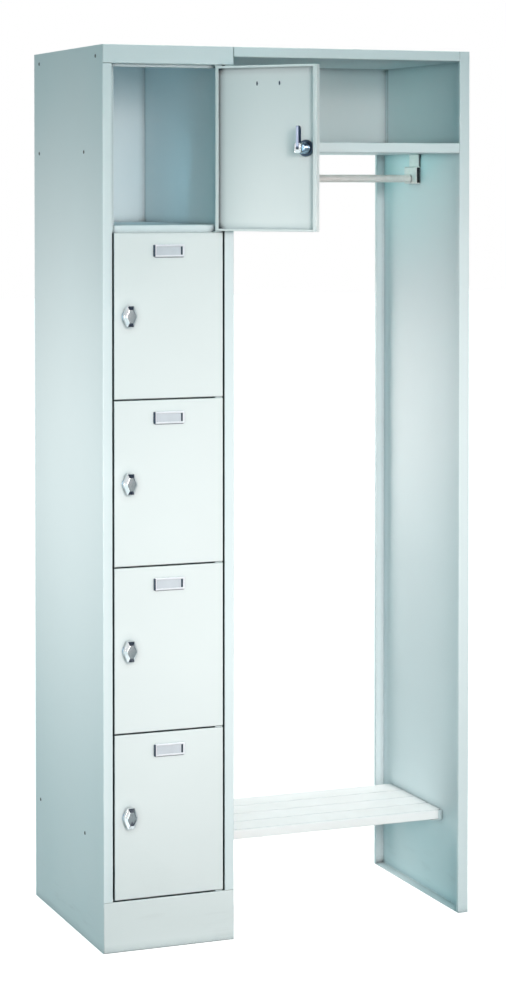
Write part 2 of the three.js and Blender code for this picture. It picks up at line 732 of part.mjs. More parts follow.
function railMeshes() {
  const bracket = railBracket();
  const y = RAIL_FROM_FRONT - BRACKET_DEPTH / 2;
  const z = RAIL_HEIGHT - BRACKET_BELOW_RAIL;
  const tube = alongX(
    circle(RAIL_RADIUS, ROUND_SIDES), BAY_LEFT + RAIL_END_GAP, BAY_RIGHT - RAIL_END_GAP,
    [circle(RAIL_RADIUS - RAIL_WALL, ROUND_SIDES)],
  );
  return [
    mesh('coat_rail', tube, railSteel, 0, RAIL_FROM_FRONT, RAIL_HEIGHT),
    mesh('rail_bracket_left', bracket, railSteel, BAY_LEFT, y, z),
    mesh('rail_bracket_right', mirrored(bracket), railSteel, BAY_RIGHT, y, z),
  ];
}

// A ledge bracket for the left-hand end of the bench, with a closed front end
function benchBracket() {
  const height = SLAT_HEIGHT + LEDGE_SHEET + FIT;
  const section = foldedSheet([[0, height], [0, 0], [LEDGE_WIDTH, 0]], LEDGE_SHEET);
  return join(
    alongY(section, 0, BENCH_DEPTH),
    block([0, LEDGE_END_WIDTH], [0, LEDGE_SHEET], [0, height]),
  );
}

function benchSlat() {
  const width = SLAT_PITCH - SLAT_GAP;
  const section = foldedSheet([[width, 0], [width, SLAT_HEIGHT], [0, SLAT_HEIGHT], [0, 0]]);
  const inset = LEDGE_SHEET + FIT;
  return alongX(section, BAY_LEFT + inset, BAY_RIGHT - inset);
}

function benchRail() {
  const outline = roundedRectangle(BENCH_RAIL_DEPTH, SLAT_HEIGHT, allCorners(OUTER_BEND));
  const hollow = shifted(
    roundedRectangle(
      BENCH_RAIL_DEPTH - SHEET * 2, SLAT_HEIGHT - SHEET * 2, allCorners(BEND_RADIUS),
    ),
    SHEET, SHEET,
  );
  const inset = LEDGE_END_WIDTH + FIT;
  return alongX(outline, BAY_LEFT + inset, BAY_RIGHT - inset, [hollow]);
}

function benchMeshes() {
  const bracket = benchBracket();
  const bracketBottom = BENCH_BOTTOM - FIT - LEDGE_SHEET;
  const pieces = [
    mesh('bench_bracket_left', bracket, casePaint, BAY_LEFT, BENCH_FROM_FRONT, bracketBottom),
    mesh('bench_bracket_right', mirrored(bracket), casePaint,
      BAY_RIGHT, BENCH_FROM_FRONT, bracketBottom),
    mesh('bench_front_rail', benchRail(), benchPaint, 0, BENCH_FROM_FRONT, BENCH_BOTTOM),
  ];
  const firstSlat = BENCH_FROM_FRONT + BENCH_RAIL_DEPTH + SLAT_GAP;
  for (let slat = 0; slat < SLAT_COUNT; slat += 1) {
    const y = firstSlat + slat * SLAT_PITCH;
    pieces.push(
      mesh(`bench_slat_${slat + 1}`, benchSlat(), benchPaint, 0, y, BENCH_BOTTOM),
    );
  }
  return pieces;
}

function bayMeshes() {
  return [
    endPanel(),
    mesh('bay_top', bayPanel(true), casePaint, BAY_LEFT, 0, HEIGHT - PANEL_THICKNESS),
    mesh('hat_shelf', bayPanel(false), casePaint, BAY_LEFT, 0, HAT_SHELF_BOTTOM),
    hatBackPanel(),
    ...railMeshes(),
    ...benchMeshes(),
  ];
}

// The top door is stored open, the others are shut
const unit = new THREE.Group();
unit.add(...columnMeshes(), ...bayMeshes());
for (let number = 1; number <= DOOR_COUNT; number += 1) {
  unit.add(doorGroup(number, number === 1 ? OPEN_DOOR_ANGLE : 0));
}

// The origin is on the floor, at the middle of everything that the unit covers
const extent = new THREE.Box3().setFromObject(unit, true);
unit.position.set(
  -(extent.min.x + extent.max.x) / 2,
  -(extent.min.y + extent.max.y) / 2,
  -extent.min.z,
);

export default new THREE.Group().add(unit);
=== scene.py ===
# %% [markdown]
# # A mudroom locker unit, dressed for a studio picture
#
# The sheet-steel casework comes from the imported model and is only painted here. The small
# hardware that a hand and an eye meet, such as the turn locks, the coat rail and the name
# cards, is worked out again as smooth surfaces. Everything is in metres, in the frame of
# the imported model: X to the right, Y towards the back, Z up.

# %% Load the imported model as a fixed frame
import json
import math

import bmesh
import bpy
import numpy as np
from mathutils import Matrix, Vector


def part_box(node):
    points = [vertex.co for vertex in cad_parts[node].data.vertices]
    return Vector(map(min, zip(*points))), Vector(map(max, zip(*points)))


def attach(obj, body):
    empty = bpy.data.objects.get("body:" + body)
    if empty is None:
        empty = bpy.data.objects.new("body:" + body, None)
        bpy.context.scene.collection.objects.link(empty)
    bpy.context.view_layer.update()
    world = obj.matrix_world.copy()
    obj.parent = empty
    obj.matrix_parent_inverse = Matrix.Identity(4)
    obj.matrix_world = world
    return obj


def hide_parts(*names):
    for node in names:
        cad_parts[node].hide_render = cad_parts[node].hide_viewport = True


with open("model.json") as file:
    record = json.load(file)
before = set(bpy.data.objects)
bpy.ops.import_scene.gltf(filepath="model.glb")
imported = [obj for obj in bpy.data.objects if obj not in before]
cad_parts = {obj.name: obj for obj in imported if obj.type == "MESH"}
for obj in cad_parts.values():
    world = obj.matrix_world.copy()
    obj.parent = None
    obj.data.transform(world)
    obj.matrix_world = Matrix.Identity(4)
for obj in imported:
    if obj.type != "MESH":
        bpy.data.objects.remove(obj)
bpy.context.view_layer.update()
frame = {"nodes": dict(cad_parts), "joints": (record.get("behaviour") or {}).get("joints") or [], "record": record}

MM = 0.001
joints = {joint["name"]: joint for joint in frame["joints"]}
doors = range(1, 6)

# %% [markdown]
# ## The camera
#
# The picture is a product shot with a long lens: the uprights stay almost parallel, and the
# horizon lies high in the frame. A real photographer gets that by shifting the lens down
# instead of tilting the camera. The eye, the two turns and the focal length below come from
# a least-squares fit of known corners to their places in the picture.

# %% Place the camera
IMAGE_HEIGHT_PIXELS = 1000
FOCAL_PIXELS = 2561.6
SENSOR_MM = 36
EYE = Vector((-2.157, -5.3391, 1.6535))
TURNED_RIGHT = math.radians(21.733)
TIPPED_DOWN = math.radians(1.487)
LENS_SHIFT = -0.25

camera_data = bpy.data.cameras.new("camera")
camera_data.sensor_width = SENSOR_MM
camera_data.lens = SENSOR_MM * FOCAL_PIXELS / IMAGE_HEIGHT_PIXELS
camera_data.shift_y = LENS_SHIFT
camera = bpy.data.objects.new("camera", camera_data)
camera.location = EYE
camera.rotation_euler = (math.pi / 2 - TIPPED_DOWN, 0, -TURNED_RIGHT)
bpy.context.scene.collection.objects.link(camera)
bpy.context.scene.camera = camera
bpy.context.scene.view_settings.view_transform = "Standard"
print("lens", round(camera_data.lens, 2), "mm")

# %% [markdown]
# ## Building shader nodes with less typing
#
# A material is a graph. Two helpers keep that readable: one adds a node and fills its
# sockets from links or constants, the other starts a node group with named sockets. A group
# is like a function, and each paint below calls the same few with its own values.

# %% Helpers for shader nodes
def add(tree, kind, sockets=None, **settings):
    """Adds a shader node. Each named or numbered socket takes a link or a constant."""
    made = tree.nodes.new("ShaderNode" + kind)
    for key, value in settings.items():
        setattr(made, key, value)
    for key, value in (sockets or {}).items():
        if isinstance(value, bpy.types.NodeSocket):
            tree.links.new(value, made.inputs[key])
        else:
            made.inputs[key].default_value = value
    return made


def start_group(name, inputs, outputs):
    """A node group. inputs is {socket: default}, outputs is {socket: kind}."""
    tree = bpy.data.node_groups.new(name, "ShaderNodeTree")
    for label, default in inputs.items():
        kind = "NodeSocketColor" if isinstance(default, tuple) else "NodeSocketFloat"
        socket = tree.interface.new_socket(label, in_out="INPUT", socket_type=kind)
        socket.default_value = default
    for label, kind in outputs.items():
        tree.interface.new_socket(label, in_out="OUTPUT", socket_type="NodeSocket" + kind)
    return tree, tree.nodes.new("NodeGroupInput").outputs, tree.nodes.new("NodeGroupOutput")


def finish_group(tree, output, results):
    """Joins the results to the group's named outputs."""
    for label, socket in results.items():
        tree.links.new(socket, output.inputs[label])
    print("group", tree.name, "has", len(tree.nodes), "nodes")


def use(tree, group, sockets):
    """Places a group in a material and sets its inputs."""
    made = tree.nodes.new("ShaderNodeGroup")
    made.node_tree = group
    for label, value in sockets.items():
        if isinstance(value, bpy.types.NodeSocket):
            tree.links.new(value, made.inputs[label])
        else:
            made.inputs[label].default_value = value
    return made.outputs


def rescale(tree, value, low, high, to_low, to_high):
    """A straight line from low and high to to_low and to_high, held at its ends."""
    return add(tree, "MapRange", {
        "Value": value, "From Min": low, "From Max": high, "To Min": to_low, "To Max": to_high,
    }).outputs["Result"]


def blend(tree, share, first, second, mode="MIX"):
    """Mixes two colours."""
    made = add(tree, "Mix", data_type="RGBA", blend_type=mode)
    for socket, value in ((made.inputs["Factor"], share), (made.inputs[6], first),
                          (made.inputs[7], second)):
        if isinstance(value, bpy.types.NodeSocket):
            tree.links.new(value, socket)
        else:
            socket.default_value = value
    return made.outputs[2]


def calculate(tree, operation, first, second=0.0):
    """One sum on two values."""
    return add(tree, "Math", {0: first, 1: second}, operation=operation).outputs[0]


def written(red, green, blue):
    """A colour as a picture editor writes it, 0 to 255, turned into the linear light
    that shaders use: the share to the power 2.4 after its offset, straight near black."""
    share = np.array([red, green, blue]) / 255
    linear = np.where(share <= 0.04045, share / 12.92, ((share + 0.055) / 1.055) ** 2.4)
    return (*linear.tolist(), 1.0)


# %% [markdown]
# ## Powder coat
#
# Lockers are sprayed with dry paint powder that melts in an oven. It flows almost smooth and
# keeps a faint orange-peel of about a millimetre, and its lightness drifts a little where the
# coat is thicker. Two noises of different size give both, one as height and one as colour.

# %% The powder coat group
tree, given, output = start_group(
    "powder coat",
    {"Colour": (0.8, 0.8, 0.8, 1.0), "Drift": 0.03, "Peel scale": 850.0, "Gloss": 0.42},
    {"Colour": "Color", "Roughness": "Float", "Height": "Float"},
)
place = add(tree, "TexCoord").outputs["Object"]
peel = add(tree, "TexNoise", {
    "Vector": place, "Scale": given["Peel scale"], "Detail": 1.5, "Roughness": 0.4,
}).outputs["Fac"]
cloud = add(tree, "TexNoise", {"Vector": place, "Scale": 3.1, "Detail": 3.0}).outputs["Fac"]
dark = calculate(tree, "SUBTRACT", 1.0, given["Drift"])
light = calculate(tree, "ADD", 1.0, given["Drift"])
lightness = rescale(tree, cloud, 0.3, 0.7, dark, light)
grey = add(tree, "CombineColor", {0: lightness, 1: lightness, 2: lightness}).outputs[0]
rough = calculate(tree, "ADD", given["Gloss"], rescale(tree, peel, 0.3, 0.7, -0.05, 0.06))
finish_group(tree, output, {
    "Colour": blend(tree, 1.0, given["Colour"], grey, "MULTIPLY"),
    "Roughness": calculate(tree, "ADD", rough, rescale(tree, cloud, 0.35, 0.65, -0.03, 0.03)),
    "Height": peel,
})
powder_coat = tree

# %% [markdown]
# ## Worn and softened edges
#
# No fold or cut edge is knife sharp. The Bevel node looks a little way round each point and
# gives the normal that a rounded edge would have, which catches a thin line of light. How far
# that normal leans from the flat one also tells where an edge is, and a noise breaks that
# band into the small rubbed places where paint thins first.

# %% The edge group
tree, given, output = start_group(
    "edge wear",
    {"Reach": 0.0008, "Patchiness": 60.0},
    {"Wear": "Float", "Normal": "Vector"},
)
place = add(tree, "TexCoord").outputs["Object"]
rounded = add(tree, "Bevel", {"Radius": given["Reach"]}, samples=6).outputs["Normal"]
flat = add(tree, "NewGeometry").outputs["True Normal"]
agreement = add(tree, "VectorMath", {0: rounded, 1: flat}, operation="DOT_PRODUCT")
lean = rescale(tree, agreement.outputs["Value"], 0.80, 0.99, 1.0, 0.0)
patches = add(tree, "TexNoise", {
    "Vector": place, "Scale": given["Patchiness"], "Detail": 4.0,
}).outputs["Fac"]
finish_group(tree, output, {
    "Wear": calculate(tree, "MULTIPLY", lean, rescale(tree, patches, 0.52, 0.66, 0.0, 1.0)),
    "Normal": rounded,
})
edge_wear = tree

# %% [markdown]
# ## Dust and scuffs
#
# A unit that stands in a hallway gathers a little dust on what faces up, and feet and brooms
# leave soft grey marks near the floor. Both are masks: one reads which way the surface faces,
# the other its height above the floor, and streaky noise keeps them from looking sprayed on.

# %% The dust and scuff group
tree, given, output = start_group(
    "dust and scuffs",
    {"Dust": 0.25, "Scuffs": 0.3, "Scuff height": 0.12},
    {"Dust": "Float", "Scuff": "Float"},
)
place = add(tree, "TexCoord").outputs["Object"]
facing = add(tree, "SeparateXYZ", {0: add(tree, "NewGeometry").outputs["True Normal"]})
settled = rescale(tree, facing.outputs["Z"], 0.6, 0.98, 0.0, given["Dust"])
drifts = add(tree, "TexNoise", {"Vector": place, "Scale": 14.0, "Detail": 5.0}).outputs["Fac"]
height = add(tree, "SeparateXYZ", {0: place}).outputs["Z"]
low_down = rescale(tree, calculate(tree, "DIVIDE", height, given["Scuff height"]),
                   0.15, 1.0, 1.0, 0.0)
stretched = add(tree, "Mapping", {"Vector": place, "Scale": (9.0, 9.0, 60.0)}).outputs[0]
streaks = add(tree, "TexNoise", {"Vector": stretched, "Scale": 1.0, "Detail": 6.0}).outputs["Fac"]
marks = calculate(tree, "MULTIPLY", low_down, rescale(tree, streaks, 0.56, 0.72, 0.0, 1.0))
finish_group(tree, output, {
    "Dust": calculate(tree, "MULTIPLY", settled, rescale(tree, drifts, 0.3, 0.75, 0.3, 1.0)),
    "Scuff": calculate(tree, "MULTIPLY", marks, given["Scuffs"]),
})
dust_and_scuffs = tree

# %% [markdown]
# ## Fine scratches
#
# Plated and drawn metal is never blank. Cloths and tools leave hair lines that run mostly one
# way, and they blur a reflection along one direction. A noise that is squeezed across the
# lines and stretched along them gives the lines, with the stretch as an input.

# %% The scratch group
tree, given, output = start_group(
    "fine scratches",
    {"Along X": 400.0, "Along Y": 400.0, "Along Z": 400.0},
    {"Lines": "Float", "Smudge": "Float"},
)
place = add(tree, "TexCoord").outputs["Object"]
stretch = add(tree, "CombineXYZ", {
    "X": given["Along X"], "Y": given["Along Y"], "Z": given["Along Z"],
}).outputs[0]
squeezed = add(tree, "VectorMath", {0: place, 1: stretch}, operation="MULTIPLY").outputs[0]
lines = add(tree, "TexNoise", {"Vector": squeezed, "Scale": 1.0, "Detail": 4.0}).outputs["Fac"]
smudge = add(tree, "TexNoise", {"Vector": place, "Scale": 45.0, "Detail": 3.0}).outputs["Fac"]
finish_group(tree, output, {"Lines": lines, "Smudge": smudge})
fine_scratches = tree

# %% [markdown]
# ## Painted shade in narrow gaps
#
# Hardly any light gets into the seam round a door or the slit between two slats, and this
# group paints that shade into the colour. The occlusion node sends short rays out and returns
# the share that stays free: 1 on an open face, a half in a square corner, and nearly 0 deep
# in a gap. One mask picks out the gaps for painted shade, and a second one the soft painted
# shadow beside anything that stands up from a face.

# %% The gap shade group
tree, given, output = start_group(
    "gap shade",
    {"Reach": 0.02, "Closed at": 0.3, "Open at": 0.5},
    {"Shade": "Float", "Beside": "Float"},
)
# Painted shade: the share of free rays sets how dark the colour is painted.
free = add(tree, "AmbientOcclusion", {"Distance": given["Reach"]}, samples=6).outputs["AO"]
finish_group(tree, output, {
    "Shade": rescale(tree, free, given["Closed at"], given["Open at"], 1.0, 0.0),
    "Beside": rescale(tree, free, given["Open at"], 0.97, 1.0, 0.0),
})
gap_shade = tree

# %% [markdown]
# ## The three paints
#
# The casework, the doors and the bench are sprayed in three near whites. Each could be one
# flat colour, but a sprayed sheet is never that even. So each is a plain Principled shader,
# and the groups tell it how colour, gloss and height change: a drifting coat, thin edges,
# a little dust, marks near the floor, and shade in seams and beside what stands up.

# %% Paint materials
BARE_PRIMER = written(150, 160, 162)
DUST = written(206, 204, 198)
SCUFF = written(128, 132, 132)
# GAP_DARK and CORNER_DARK are painted shade: deep in seams, and soft beside raised parts.
GAP_DARK, CORNER_DARK = written(44, 52, 56), written(112, 134, 142)
EDGE_WEAR, CORNER_SHADE, DUST_ROUGHENS = 0.45, 0.3, 0.6


def start_material(name):
    """A material that holds one Principled shader, with its tree and that shader."""
    made = bpy.data.materials.new(name)
    made.use_nodes = True
    made.node_tree.nodes.clear()
    shader = made.node_tree.nodes.new("ShaderNodeBsdfPrincipled")
    output = made.node_tree.nodes.new("ShaderNodeOutputMaterial")
    made.node_tree.links.new(shader.outputs["BSDF"], output.inputs["Surface"])
    return made, made.node_tree, shader


def paint(name, colour, gloss, drift, scuffs):
    """Powder coat on folded steel, thin at its edges, with a little dust and scuffing, and with
    painted shade in its seams and beside what stands up from it.
    """
    made, tree, shader = start_material(name)
    coat = use(tree, powder_coat, {"Colour": colour, "Drift": drift, "Gloss": gloss})
    edges = use(tree, edge_wear, {"Reach": 0.0009, "Patchiness": 70.0})
    marks = use(tree, dust_and_scuffs, {"Dust": 0.22, "Scuffs": scuffs})
    worn = blend(tree, calculate(tree, "MULTIPLY", edges["Wear"], EDGE_WEAR),
                 coat["Colour"], BARE_PRIMER)
    dusty = blend(tree, marks["Dust"], worn, DUST)
    scuffed = blend(tree, marks["Scuff"], dusty, SCUFF)
    # Painted shade: the two gap masks darken the colour in seams and beside raised parts.
    gaps = use(tree, gap_shade, {"Reach": 0.02, "Closed at": 0.3, "Open at": 0.5})
    shaded = blend(tree, calculate(tree, "MULTIPLY", gaps["Beside"], CORNER_SHADE),
                   scuffed, CORNER_DARK)
    tree.links.new(blend(tree, gaps["Shade"], shaded, GAP_DARK), shader.inputs["Base Color"])
    rougher = calculate(tree, "MULTIPLY", marks["Dust"], DUST_ROUGHENS)
    tree.links.new(calculate(tree, "ADD", coat["Roughness"], rougher),
                   shader.inputs["Roughness"])
    bump = add(tree, "Bump", {
        "Height": coat["Height"], "Normal": edges["Normal"], "Strength": 0.25,
        "Distance": 0.0001,
    })
    tree.links.new(bump.outputs["Normal"], shader.inputs["Normal"])
    return made


finishes = {
    "case_paint": paint("case_paint", written(222, 235, 238), 0.42, 0.02, 0.12),
    "door_paint": paint("door_paint", written(225, 234, 235), 0.40, 0.015, 0.1),
    "bench_paint": paint("bench_paint", written(246, 249, 250), 0.36, 0.02, 0.0),
}
print("paints", list(finishes))

# %% [markdown]
# ## The metals
#
# The knobs and hubs are plated and bright, the lock barrels a little bluer, and the nuts, pins
# and back plates dark; the back plates and the hub screws are dark partly as painted shade.
# The cam bars are blued with a bright ground edge, and they are also a shaded and a lit copy
# of one steel: painted shade on the sides and painted light on the face. The coat rail is
# drawn tube with hair lines along its length. A metal's look is mostly its reflections, so
# what changes over the surface is roughness and a trace of height, and its corners and
# hollows get painted shade. The rail, the holders and the ground edges are lacquered too:
# they are mixed from metal and a pale satin coat, which stays light from every side where
# pure metal would turn dark. The plugs are plastic, so they have the same graph with no
# metal in it at all.

# %% Metal materials
HOLLOW_SHADE_SHARE, DULL_ROUGHENS, RUBBED_LIGHTER = 0.85, 0.12, 1.25


def metal(name, colour, rough_low, rough_high, stretch, tarnish, bare=1.0):
    """A plated or drawn metal with hair lines, smudges and painted shade in its corners and
    hollows. bare is the share of metal, and the rest is a clear satin lacquer that scatters light."""
    made, tree, shader = start_material(name)
    scratch = use(tree, fine_scratches, dict(zip(("Along X", "Along Y", "Along Z"), stretch)))
    edges = use(tree, edge_wear, {"Reach": 0.0003, "Patchiness": 240.0})
    gaps = use(tree, gap_shade, {"Reach": 0.005, "Closed at": 0.4, "Open at": 0.72})
    shader.inputs["Metallic"].default_value = bare
    dull = rescale(tree, scratch["Smudge"], 0.35, 0.7, 0.0, 0.5)
    toned = blend(tree, dull, colour, tarnish)
    bright = tuple(min(1.0, value * RUBBED_LIGHTER) for value in colour[:3]) + (1.0,)
    rubbed = blend(tree, edges["Wear"], toned, bright)
    # Painted shade: corners and hollows are darkened towards GAP_DARK.
    hollow_shade = calculate(tree, "MULTIPLY", gaps["Shade"], HOLLOW_SHADE_SHARE)
    tree.links.new(blend(tree, hollow_shade, rubbed, GAP_DARK), shader.inputs["Base Color"])
    rough = rescale(tree, scratch["Lines"], 0.3, 0.7, rough_low, rough_high)
    more = calculate(tree, "MULTIPLY", dull, DULL_ROUGHENS)
    tree.links.new(calculate(tree, "ADD", rough, more), shader.inputs["Roughness"])
    bump = add(tree, "Bump", {
        "Height": scratch["Lines"], "Normal": edges["Normal"], "Strength": 0.1,
        "Distance": 0.00001,
    })
    tree.links.new(bump.outputs["Normal"], shader.inputs["Normal"])
    return made


finishes["chrome"] = metal(
    "chrome", written(222, 226, 229), 0.08, 0.2, (350.0, 350.0, 2200.0), written(188, 194, 198))
finishes["holder_metal"] = metal(
    "holder_metal", written(246, 248, 255), 0.12, 0.22, (900.0, 900.0, 900.0),
    written(230, 233, 241), bare=0.1)
# A lit copy of the cam bar's steel: its bright ground face is painted light.
finishes["ground_lit_steel"] = metal(
    "ground_lit_steel", written(198, 208, 234), 0.15, 0.25, (300.0, 300.0, 2000.0),
    written(178, 188, 214), bare=0.4)
finishes["dark_steel"] = metal(
    "dark_steel", written(72, 86, 102), 0.25, 0.4, (600.0, 600.0, 600.0), written(42, 54, 68))
finishes["barrel_steel"] = metal(
    "barrel_steel", written(178, 204, 224), 0.12, 0.25, (500.0, 500.0, 500.0),
    written(118, 150, 178))
# A shaded copy of the same steel: the cam bar's sides get painted shade and dark reflection.
finishes["blued_shaded_steel"] = metal(
    "blued_shaded_steel", written(92, 106, 136), 0.25, 0.4, (300.0, 300.0, 2000.0),
    written(66, 78, 104))
finishes["plug_black"] = metal(
    "plug_black", written(30, 44, 48), 0.35, 0.5, (400.0, 400.0, 400.0), written(40, 54, 58),
    bare=0.0)
finishes["rail_steel"] = metal(
    "rail_steel", written(238, 235, 232), 0.3, 0.45, (25.0, 1800.0, 1800.0), written(222, 219, 215),
    bare=0.15)
print("metals", [name for name in finishes if "paint" not in name])

# %% [markdown]
# ## Card
#
# The holders carry blank cards of uncoated board. One plain grey would look like plastic.
# Board has fibres and hardly any gloss, so a fine noise speckles and roughens it, a broad one
# changes its tone a little, and the gap mask adds the shade that the holder's rails throw.

# %% Card for the name cards
RAIL_SHADE = 0.8
made, tree, shader = start_material("name_card")
place = add(tree, "TexCoord").outputs["Object"]
fibre = add(tree, "TexNoise", {"Vector": place, "Scale": 1400.0, "Detail": 5.0}).outputs["Fac"]
aged = add(tree, "TexNoise", {"Vector": place, "Scale": 40.0, "Detail": 2.0}).outputs["Fac"]
tone = blend(tree, rescale(tree, aged, 0.3, 0.7, 0.0, 0.6), written(206, 213, 221),
             written(194, 201, 209))
fibred = blend(tree, rescale(tree, fibre, 0.55, 0.75, 0.0, 0.25), tone, written(200, 204, 210))
gaps = use(tree, gap_shade, {"Reach": 0.006, "Closed at": 0.35, "Open at": 0.85})
shade = calculate(tree, "MULTIPLY", gaps["Shade"], RAIL_SHADE)
tree.links.new(blend(tree, shade, fibred, GAP_DARK), shader.inputs["Base Color"])
tree.links.new(rescale(tree, fibre, 0.3, 0.7, 0.7, 0.9), shader.inputs["Roughness"])
bump = add(tree, "Bump", {"Height": fibre, "Strength": 0.2, "Distance": 0.00005})
tree.links.new(bump.outputs["Normal"], shader.inputs["Normal"])
finishes["name_card"] = made
print("card", made.name, "has", len(tree.nodes), "nodes")

# %% [markdown]
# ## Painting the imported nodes
#
# The casework, the doors and the bench are folded sheet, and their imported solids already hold
# every fold, lip and hole. They could be drawn again, but nothing would be gained, so they
# keep their meshes and only get the finish that their own slot names.

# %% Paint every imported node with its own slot's finish
for entry in frame["record"]["subparts"]:
    packed = frame["nodes"][entry["node"]]
    for index in range(len(packed.material_slots)):
        packed.material_slots[index].material = finishes[entry["material_slot"]]

# %% [markdown]
# ## Surfaces from grids of points
#
# Each new piece is one or more grids. A grid is an array of rows and columns of points,
# worked out by a formula, and every cell becomes one face. Columns close round the piece,
# and a row that shrinks to one point closes an end.

# %% From a grid of points to a piece
def skin(name, grids, closed_rows=False):
    """One mesh from grids of shape rows by columns by 3. The last column joins the first,
    and with closed_rows the last row joins the first, as on a ring. Points that fall
    together at a pole are merged, and the faces are turned outwards."""
    points, quads, start = [], [], 0
    for grid in grids:
        rows, columns = grid.shape[:2]
        index = np.arange(rows * columns).reshape(rows, columns) + start
        index = np.concatenate([index, index[:, :1]], axis=1)
        if closed_rows:
            index = np.concatenate([index, index[:1]], axis=0)
        cells = [index[:-1, :-1], index[:-1, 1:], index[1:, 1:], index[1:, :-1]]
        quads.append(np.stack(cells, axis=-1).reshape(-1, 4))
        points.append(grid.reshape(-1, 3))
        start += rows * columns
    mesh = bpy.data.meshes.new(name)
    mesh.from_pydata(np.concatenate(points).tolist(), [], np.concatenate(quads).tolist())
    work = bmesh.new()
    work.from_mesh(mesh)
    bmesh.ops.remove_doubles(work, verts=work.verts, dist=1e-7)
    bmesh.ops.dissolve_degenerate(work, edges=work.edges, dist=1e-7)
    bmesh.ops.recalc_face_normals(work, faces=work.faces)
    work.to_mesh(mesh)
    work.free()
    return mesh


def piece(name, mesh, body, slot, finish=None, stands_for=None, crease=40):
    """Puts a mesh into the scene as a piece that moves with a body of the model.
    Edges that turn by more than crease degrees stay sharp."""
    made = bpy.data.objects.new(name, mesh)
    bpy.context.scene.collection.objects.link(made)
    mesh.materials.append(finishes[finish or slot])
    mesh.shade_smooth()
    mesh.set_sharp_from_angle(angle=math.radians(crease))
    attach(made, body)
    if stands_for:
        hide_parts(stands_for)
    return made


def revolve(profile, sides, flutes=0, flute_depth=0.0):
    """Turns a profile round the second axis. profile is rows of (radius, along), and the
    point at angle a is (radius cos a, along, radius sin a). flutes cut a wave of that many
    crests into the radius."""
    angle = np.linspace(0, 2 * np.pi, sides, endpoint=False)
    radius = profile[:, :1] * np.ones(sides)
    if flutes:
        radius = radius - profile[:, 2:3] * flute_depth * (0.5 - 0.5 * np.cos(flutes * angle))
    along = profile[:, 1:2] * np.ones(sides)
    return np.stack([radius * np.cos(angle), along, radius * np.sin(angle)], axis=-1)


def bevelled_form(corners, levels, arc=4):
    """A convex outline carried through levels. corners are (u, v) going anticlockwise, and
    each level is (along, offset, fillet). The outline's sides move out by offset, which
    leaves sharp corners, and each corner then gets an arc of radius fillet: a point is the
    corner, pulled back by the fillet, plus the fillet times the direction it faces."""
    corners, levels = np.array(corners, float), np.array(levels, float)
    side = np.roll(corners, -1, axis=0) - corners
    normal = np.stack([side[:, 1], -side[:, 0]], axis=-1)
    normal /= np.linalg.norm(normal, axis=1, keepdims=True)
    reach = np.sum(normal * corners, axis=1)
    before, before_reach = np.roll(normal, 1, axis=0), np.roll(reach, 1)
    pairs = np.stack([before, normal], axis=1)
    pulled = (levels[:, 1] - levels[:, 2])[:, None]
    targets = np.stack([before_reach + pulled, reach + pulled], axis=-1)
    meeting = np.linalg.solve(pairs[None], targets[..., None])[..., 0]
    first = np.arctan2(before[:, 1], before[:, 0])
    turn = (np.arctan2(normal[:, 1], normal[:, 0]) - first) % (2 * np.pi)
    facing = first[:, None] + turn[:, None] * np.linspace(0, 1, arc + 1)
    direction = np.stack([np.cos(facing), np.sin(facing)], axis=-1)
    outline = meeting[:, :, None, :] + levels[:, 2][:, None, None, None] * direction
    outline = outline.reshape(len(levels), -1, 2)
    along = np.broadcast_to(levels[:, :1, None], outline.shape[:2] + (1,))
    return np.concatenate([outline, along], axis=-1)


def capped(grid):
    """Adds a row at each end that holds only the middle of the end row, which closes it."""
    ends = [np.broadcast_to(row.mean(axis=0), row.shape) for row in (grid[0], grid[-1])]
    return np.concatenate([ends[0][None], grid, ends[1][None]])


# %% [markdown]
# ## Where a lock sits
#
# Every lock is the same, so it is drawn once in its own frame and then set on each door.
# That frame has its origin on the door's face at the middle of the shaft. The model's own
# joint gives the place and the axis, so the top door's lock leans with the open door. An
# empty could carry the pieces there, but then their own patterns would turn with it, so the
# points themselves are moved and every object stays at the origin.

# %% The frame of a lock
def on_door(points, number):
    """Points given as (across the door, into the door, up) from the lock's middle, moved
    to door number: the joint's place plus each part times its direction."""
    joint = joints[f"bolt_{number}_turn"]
    outwards = np.array(joint["axis"], float)
    outwards /= np.linalg.norm(outwards)
    upwards = np.array([0.0, 0.0, 1.0])
    across = np.cross(upwards, outwards)
    return np.array(joint["pos_m"]) + points @ np.stack([across, -outwards, upwards])


for number in doors:
    print("lock", number, np.round(on_door(np.zeros(3), number), 4).tolist())

# %% [markdown]
# ## The turn knob
#
# The grip is a cast, plated piece about 30 mm wide and 45 mm high with eight sides, and
# slanted facets lead from its sides to a flat front. It could be cut from a block, but an
# outline carried through levels gives the same facets with a small round on every edge. The
# outline gets lower towards the front, so the facets at the top and foot are the broad ones.

